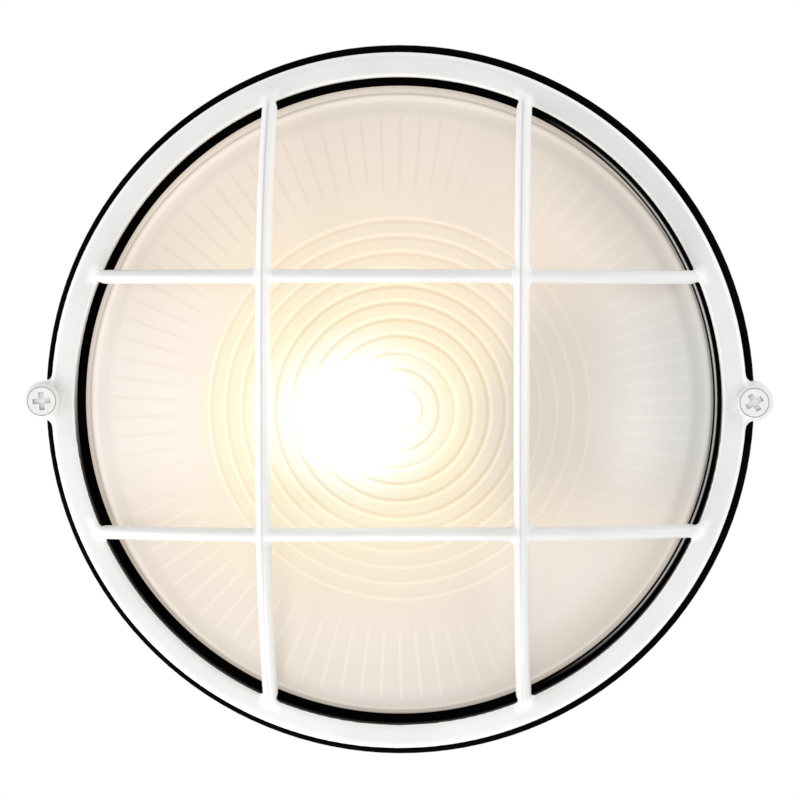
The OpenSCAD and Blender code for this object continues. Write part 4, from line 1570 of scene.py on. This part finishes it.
@dataclass
class OpalBulb:
    """Opal globe bulb lying on its side, with a rolled thread on its cap."""

    axis_height: float = 38.0 * MM
    drop: float = 4.0 * MM
    globe_radius: float = 30.0 * MM
    globe_centre: float = -13.91 * MM
    neck_radius: float = 15.0 * MM
    glass_steps: int = 96
    cap_start: float = 37.09 * MM
    cap_end: float = 60.09 * MM
    cap_radius: float = 12.75 * MM
    cap_bevel: float = 1.0 * MM
    cap_steps: int = 72
    tip: float = 64.09 * MM
    tip_radius: float = 5.0 * MM
    tip_narrowing: float = 0.8 * MM
    tip_bevel: float = 0.6 * MM
    thread_pitch: float = 3.6 * MM
    thread_length: float = 15.0 * MM
    thread_bead: float = 1.0 * MM
    thread_sink: float = 0.75 * MM
    thread_lift: float = 5.0 * MM
    sharp: float = 40.0

    @property
    def lie_down(self) -> Matrix:
        """Lays a shape drawn along z on the bulb's axis, with the cap to the right."""
        place = Matrix.Translation((0.0, -self.drop, self.axis_height))
        return STAND_UP @ place @ Matrix.Rotation(math.radians(90.0), 4, "Y")

    def build(self, glass: bpy.types.Material, steel: bpy.types.Material) -> None:
        """Makes the glass and the cap.

        Args:
            glass: finish of the lit glass.
            steel: finish of the cap.
        """
        globe = turned_piece("bulb_glass", self.glass_profile(), self.glass_steps)
        globe.data.transform(self.lie_down)
        dress(globe, self.sharp, glass, Body.HOUSING, Slot.LAMP, "bulb")
        cap = turned_piece("bulb_cap", self.cap_profile(), self.cap_steps)
        self.thread_tree(steel).apply(cap)
        cap.data.transform(self.lie_down)
        dress(cap, self.sharp, steel, Body.HOUSING, Slot.STEEL, "bulb")

    def glass_profile(self) -> list[Point]:
        """Closed profile of the globe and its tapering neck.

        Returns:
            The profile as radius and height.
        """
        run = self.cap_start - self.globe_centre
        tangent = math.degrees(math.atan2(run, self.neck_radius)
                               - math.acos(self.globe_radius / math.hypot(run, self.neck_radius)))
        globe = arc((AXIS, self.globe_centre), self.globe_radius, -90.0, tangent, 40)
        return globe + [(self.neck_radius, self.cap_start), (AXIS, self.cap_start)]

    def cap_profile(self) -> list[Point]:
        """Closed profile of the cap, its glass ring and the end contact.

        Returns:
            The profile as radius and height.
        """
        half_way = self.cap_end + (self.tip - self.cap_end) / 2.0
        return [
            (AXIS, self.cap_start), (self.cap_radius, self.cap_start),
            (self.cap_radius, self.cap_end - self.cap_bevel),
            (self.cap_radius - self.cap_bevel, self.cap_end),
            (self.tip_radius, half_way), (self.tip_radius, self.tip - self.tip_bevel),
            (self.tip_radius - self.tip_narrowing, self.tip), (AXIS, self.tip),
        ]

    def thread_tree(self, steel: bpy.types.Material) -> GeometryTree:
        """Geometry Nodes tree that winds the rolled thread round the cap.

        Args:
            steel: the cap's finish.

        Returns:
            The tree.
        """
        tree = GeometryTree("rolled_thread")
        thread = Thread(
            radius=self.cap_radius - self.thread_sink, start=self.cap_start + self.thread_lift,
            length=self.thread_length, pitch=self.thread_pitch, bead=self.thread_bead, steps=48, sides=12)
        tree.close(tree.merge(tree.entry, thread.wind(tree)), steel)
        return tree


def stand(holder: bpy.types.Object, place: Vector, facing: Vector) -> None:
    """Stands a lamp or camera at a place.

    Args:
        holder: the lamp's or camera's object.
        place: where it stands.
        facing: the direction that it looks in.
    """
    holder.location = place
    holder.rotation_euler = facing.to_track_quat("-Z", "Y").to_euler()
    bpy.context.scene.collection.objects.link(holder)


@dataclass(frozen=True)
class SoftBox:
    """Square soft light aimed at the middle of the lens."""

    name: str
    place: Place
    power: float
    size: float = 0.5
    target: Place = (0.0, -70.0 * MM, 0.0)

    def hang(self) -> None:
        """Adds the light to the scene."""
        lamp = bpy.data.lights.new(self.name, "AREA")
        lamp.energy = self.power
        lamp.size = self.size
        place = Vector(self.place)
        stand(bpy.data.objects.new(self.name, lamp), place, Vector(self.target) - place)


@dataclass
class Studio:
    """Pale floor, white surroundings, soft lights and the camera."""

    floor_level: float = -0.95
    floor_forward: float = -0.05
    floor_radius: float = 0.5
    floor_thickness: float = 4.0 * MM
    floor_steps: int = 128
    floor_colour: Colour = (0.86, 0.86, 0.855)
    floor_fibre: Colour = (0.82, 0.82, 0.815)
    fibre_scale: float = 240.0
    soft_level: float = 0.56
    white: Colour = (1.0, 1.0, 1.0)
    lights: tuple[SoftBox, ...] = (
        SoftBox("left_light", (-0.62, -0.3, -0.08), 2.0),
        SoftBox("low_light", (-0.1, -0.37, -0.58), 2.4),
        SoftBox("right_light", (0.62, -0.3, 0.16), 1.5),
        SoftBox("top_light", (0.1, -0.3, 0.6), 0.6),
    )
    aim: Place = (1.0 * MM, -70.0 * MM, 0.5 * MM)
    azimuth: float = 3.23
    elevation: float = 2.24
    distance: float = 1.2
    focal_pixels: float = 4218.9
    frame_pixels: float = 800.0
    sensor: float = 36.0

    def build(self) -> None:
        """Makes the whole stage."""
        bpy.context.scene.view_settings.view_transform = "Standard"
        self.floor()
        self.world()
        for light in self.lights:
            light.hang()
        self.camera()

    def floor(self) -> None:
        """Round pale floor, below and out of the photograph's view."""
        edge = self.floor_thickness
        profile = [(AXIS, -edge), (self.floor_radius, -edge), (self.floor_radius, -edge / 2.0),
                   (self.floor_radius - edge, 0.0), (AXIS, 0.0)]
        slab = turned_piece("floor", profile, self.floor_steps)
        slab.data.transform(Matrix.Translation((0.0, self.floor_forward, self.floor_level)))
        kit = Shader("floor_paper")
        paper = kit.mix(kit.noise(self.fibre_scale, 4.0), self.floor_colour, self.floor_fibre)
        slab.data.materials.append(kit.finish(Base_Color=paper, Roughness=0.8))

    def world(self) -> None:
        """Surroundings that look white and light softly."""
        world = bpy.data.worlds.new("studio")
        world.use_nodes = True
        bpy.context.scene.world = world
        kit = NodeKit(world.node_tree)
        path = kit.node("ShaderNodeLightPath", None, None, "Is Camera Ray")
        mirrored = kit.math("MAXIMUM", path.twin("Is Glossy Ray"), path.twin("Is Transmission Ray"))
        soft, bright = (
            kit.node("ShaderNodeBackground", None, {"Color": self.white, "Strength": strength})
            for strength in (self.soft_level, 1.0)
        )
        seen = kit.math("MAXIMUM", path, mirrored)
        mixed = kit.node("ShaderNodeMixShader", None, {0: seen, 1: soft, 2: bright})
        kit.node("ShaderNodeOutputWorld", None, {"Surface": mixed})

    def camera(self) -> None:
        """Camera at the photograph's viewing angle."""
        data = bpy.data.cameras.new("camera")
        data.sensor_width = self.sensor
        data.lens = self.sensor * self.focal_pixels / self.frame_pixels
        turn, rise = math.radians(self.azimuth), math.radians(self.elevation)
        back = Vector((math.sin(turn) * math.cos(rise), -math.cos(turn) * math.cos(rise), math.sin(rise)))
        holder = bpy.data.objects.new("camera", data)
        stand(holder, Vector(self.aim) + back * self.distance, -back)
        bpy.context.scene.camera = holder


def dress_cad_nodes(finishes: Mapping[Slot, bpy.types.Material]) -> None:
    """Gives every CAD node the finish of its slot.

    Args:
        finishes: the material of each slot.
    """
    for part in frame["record"]["subparts"]:
        piece = frame["nodes"][part["node"]]
        piece.data.materials.clear()
        piece.data.materials.append(finishes[Slot(part["material_slot"])])


def main() -> None:
    """Builds the light and its stage."""
    logging.basicConfig(level=logging.INFO, format="%(message)s")
    Studio().build()
    lens = LensSizes()
    bulb = OpalBulb()
    coat = Enamel()
    plain = (
        Moulding(Slot.PORCELAIN, colour=(0.84, 0.82, 0.77), fleck=(0.78, 0.75, 0.69),
                 roughness=0.2, coat=0.5, grain=0.04),
        Metal(Slot.STEEL, colour=(0.62, 0.63, 0.64), tarnish=(0.5, 0.5, 0.49), roughness=0.32),
        Metal(Slot.BRASS, colour=(0.74, 0.55, 0.25), tarnish=(0.58, 0.42, 0.2), roughness=0.3),
        Moulding(Slot.PLASTIC, colour=(0.3, 0.31, 0.32), fleck=(0.26, 0.27, 0.28),
                 roughness=0.48, coat=0.0, grain=0.2),
        Rubber(),
        LensGlass(lens),
    )
    finishes = {finish.slot: finish.material() for finish in plain}
    finishes[Slot.ENAMEL] = coat.material(coat.slot.value)
    finishes[Slot.LAMP] = LampGlass().material(bulb.globe_centre, bulb.cap_start)
    dress_cad_nodes(finishes)
    CastHousing().build(finishes[Slot.ENAMEL])
    GuardCage().build(coat)
    PressedLens(lens).build(finishes[Slot.LENS])
    screws = (("left", Body.SCREW_LEFT, -1.0, 4.0), ("right", Body.SCREW_RIGHT, 1.0, 30.0))
    for word, body, side, turn in screws:
        node = f"cover_screw_{word}"
        CoverScrew(node + "_white", node, body, side, turn).build(coat)
    bulb.build(finishes[Slot.LAMP], finishes[Slot.STEEL])


if __name__ == "__main__":
    main()
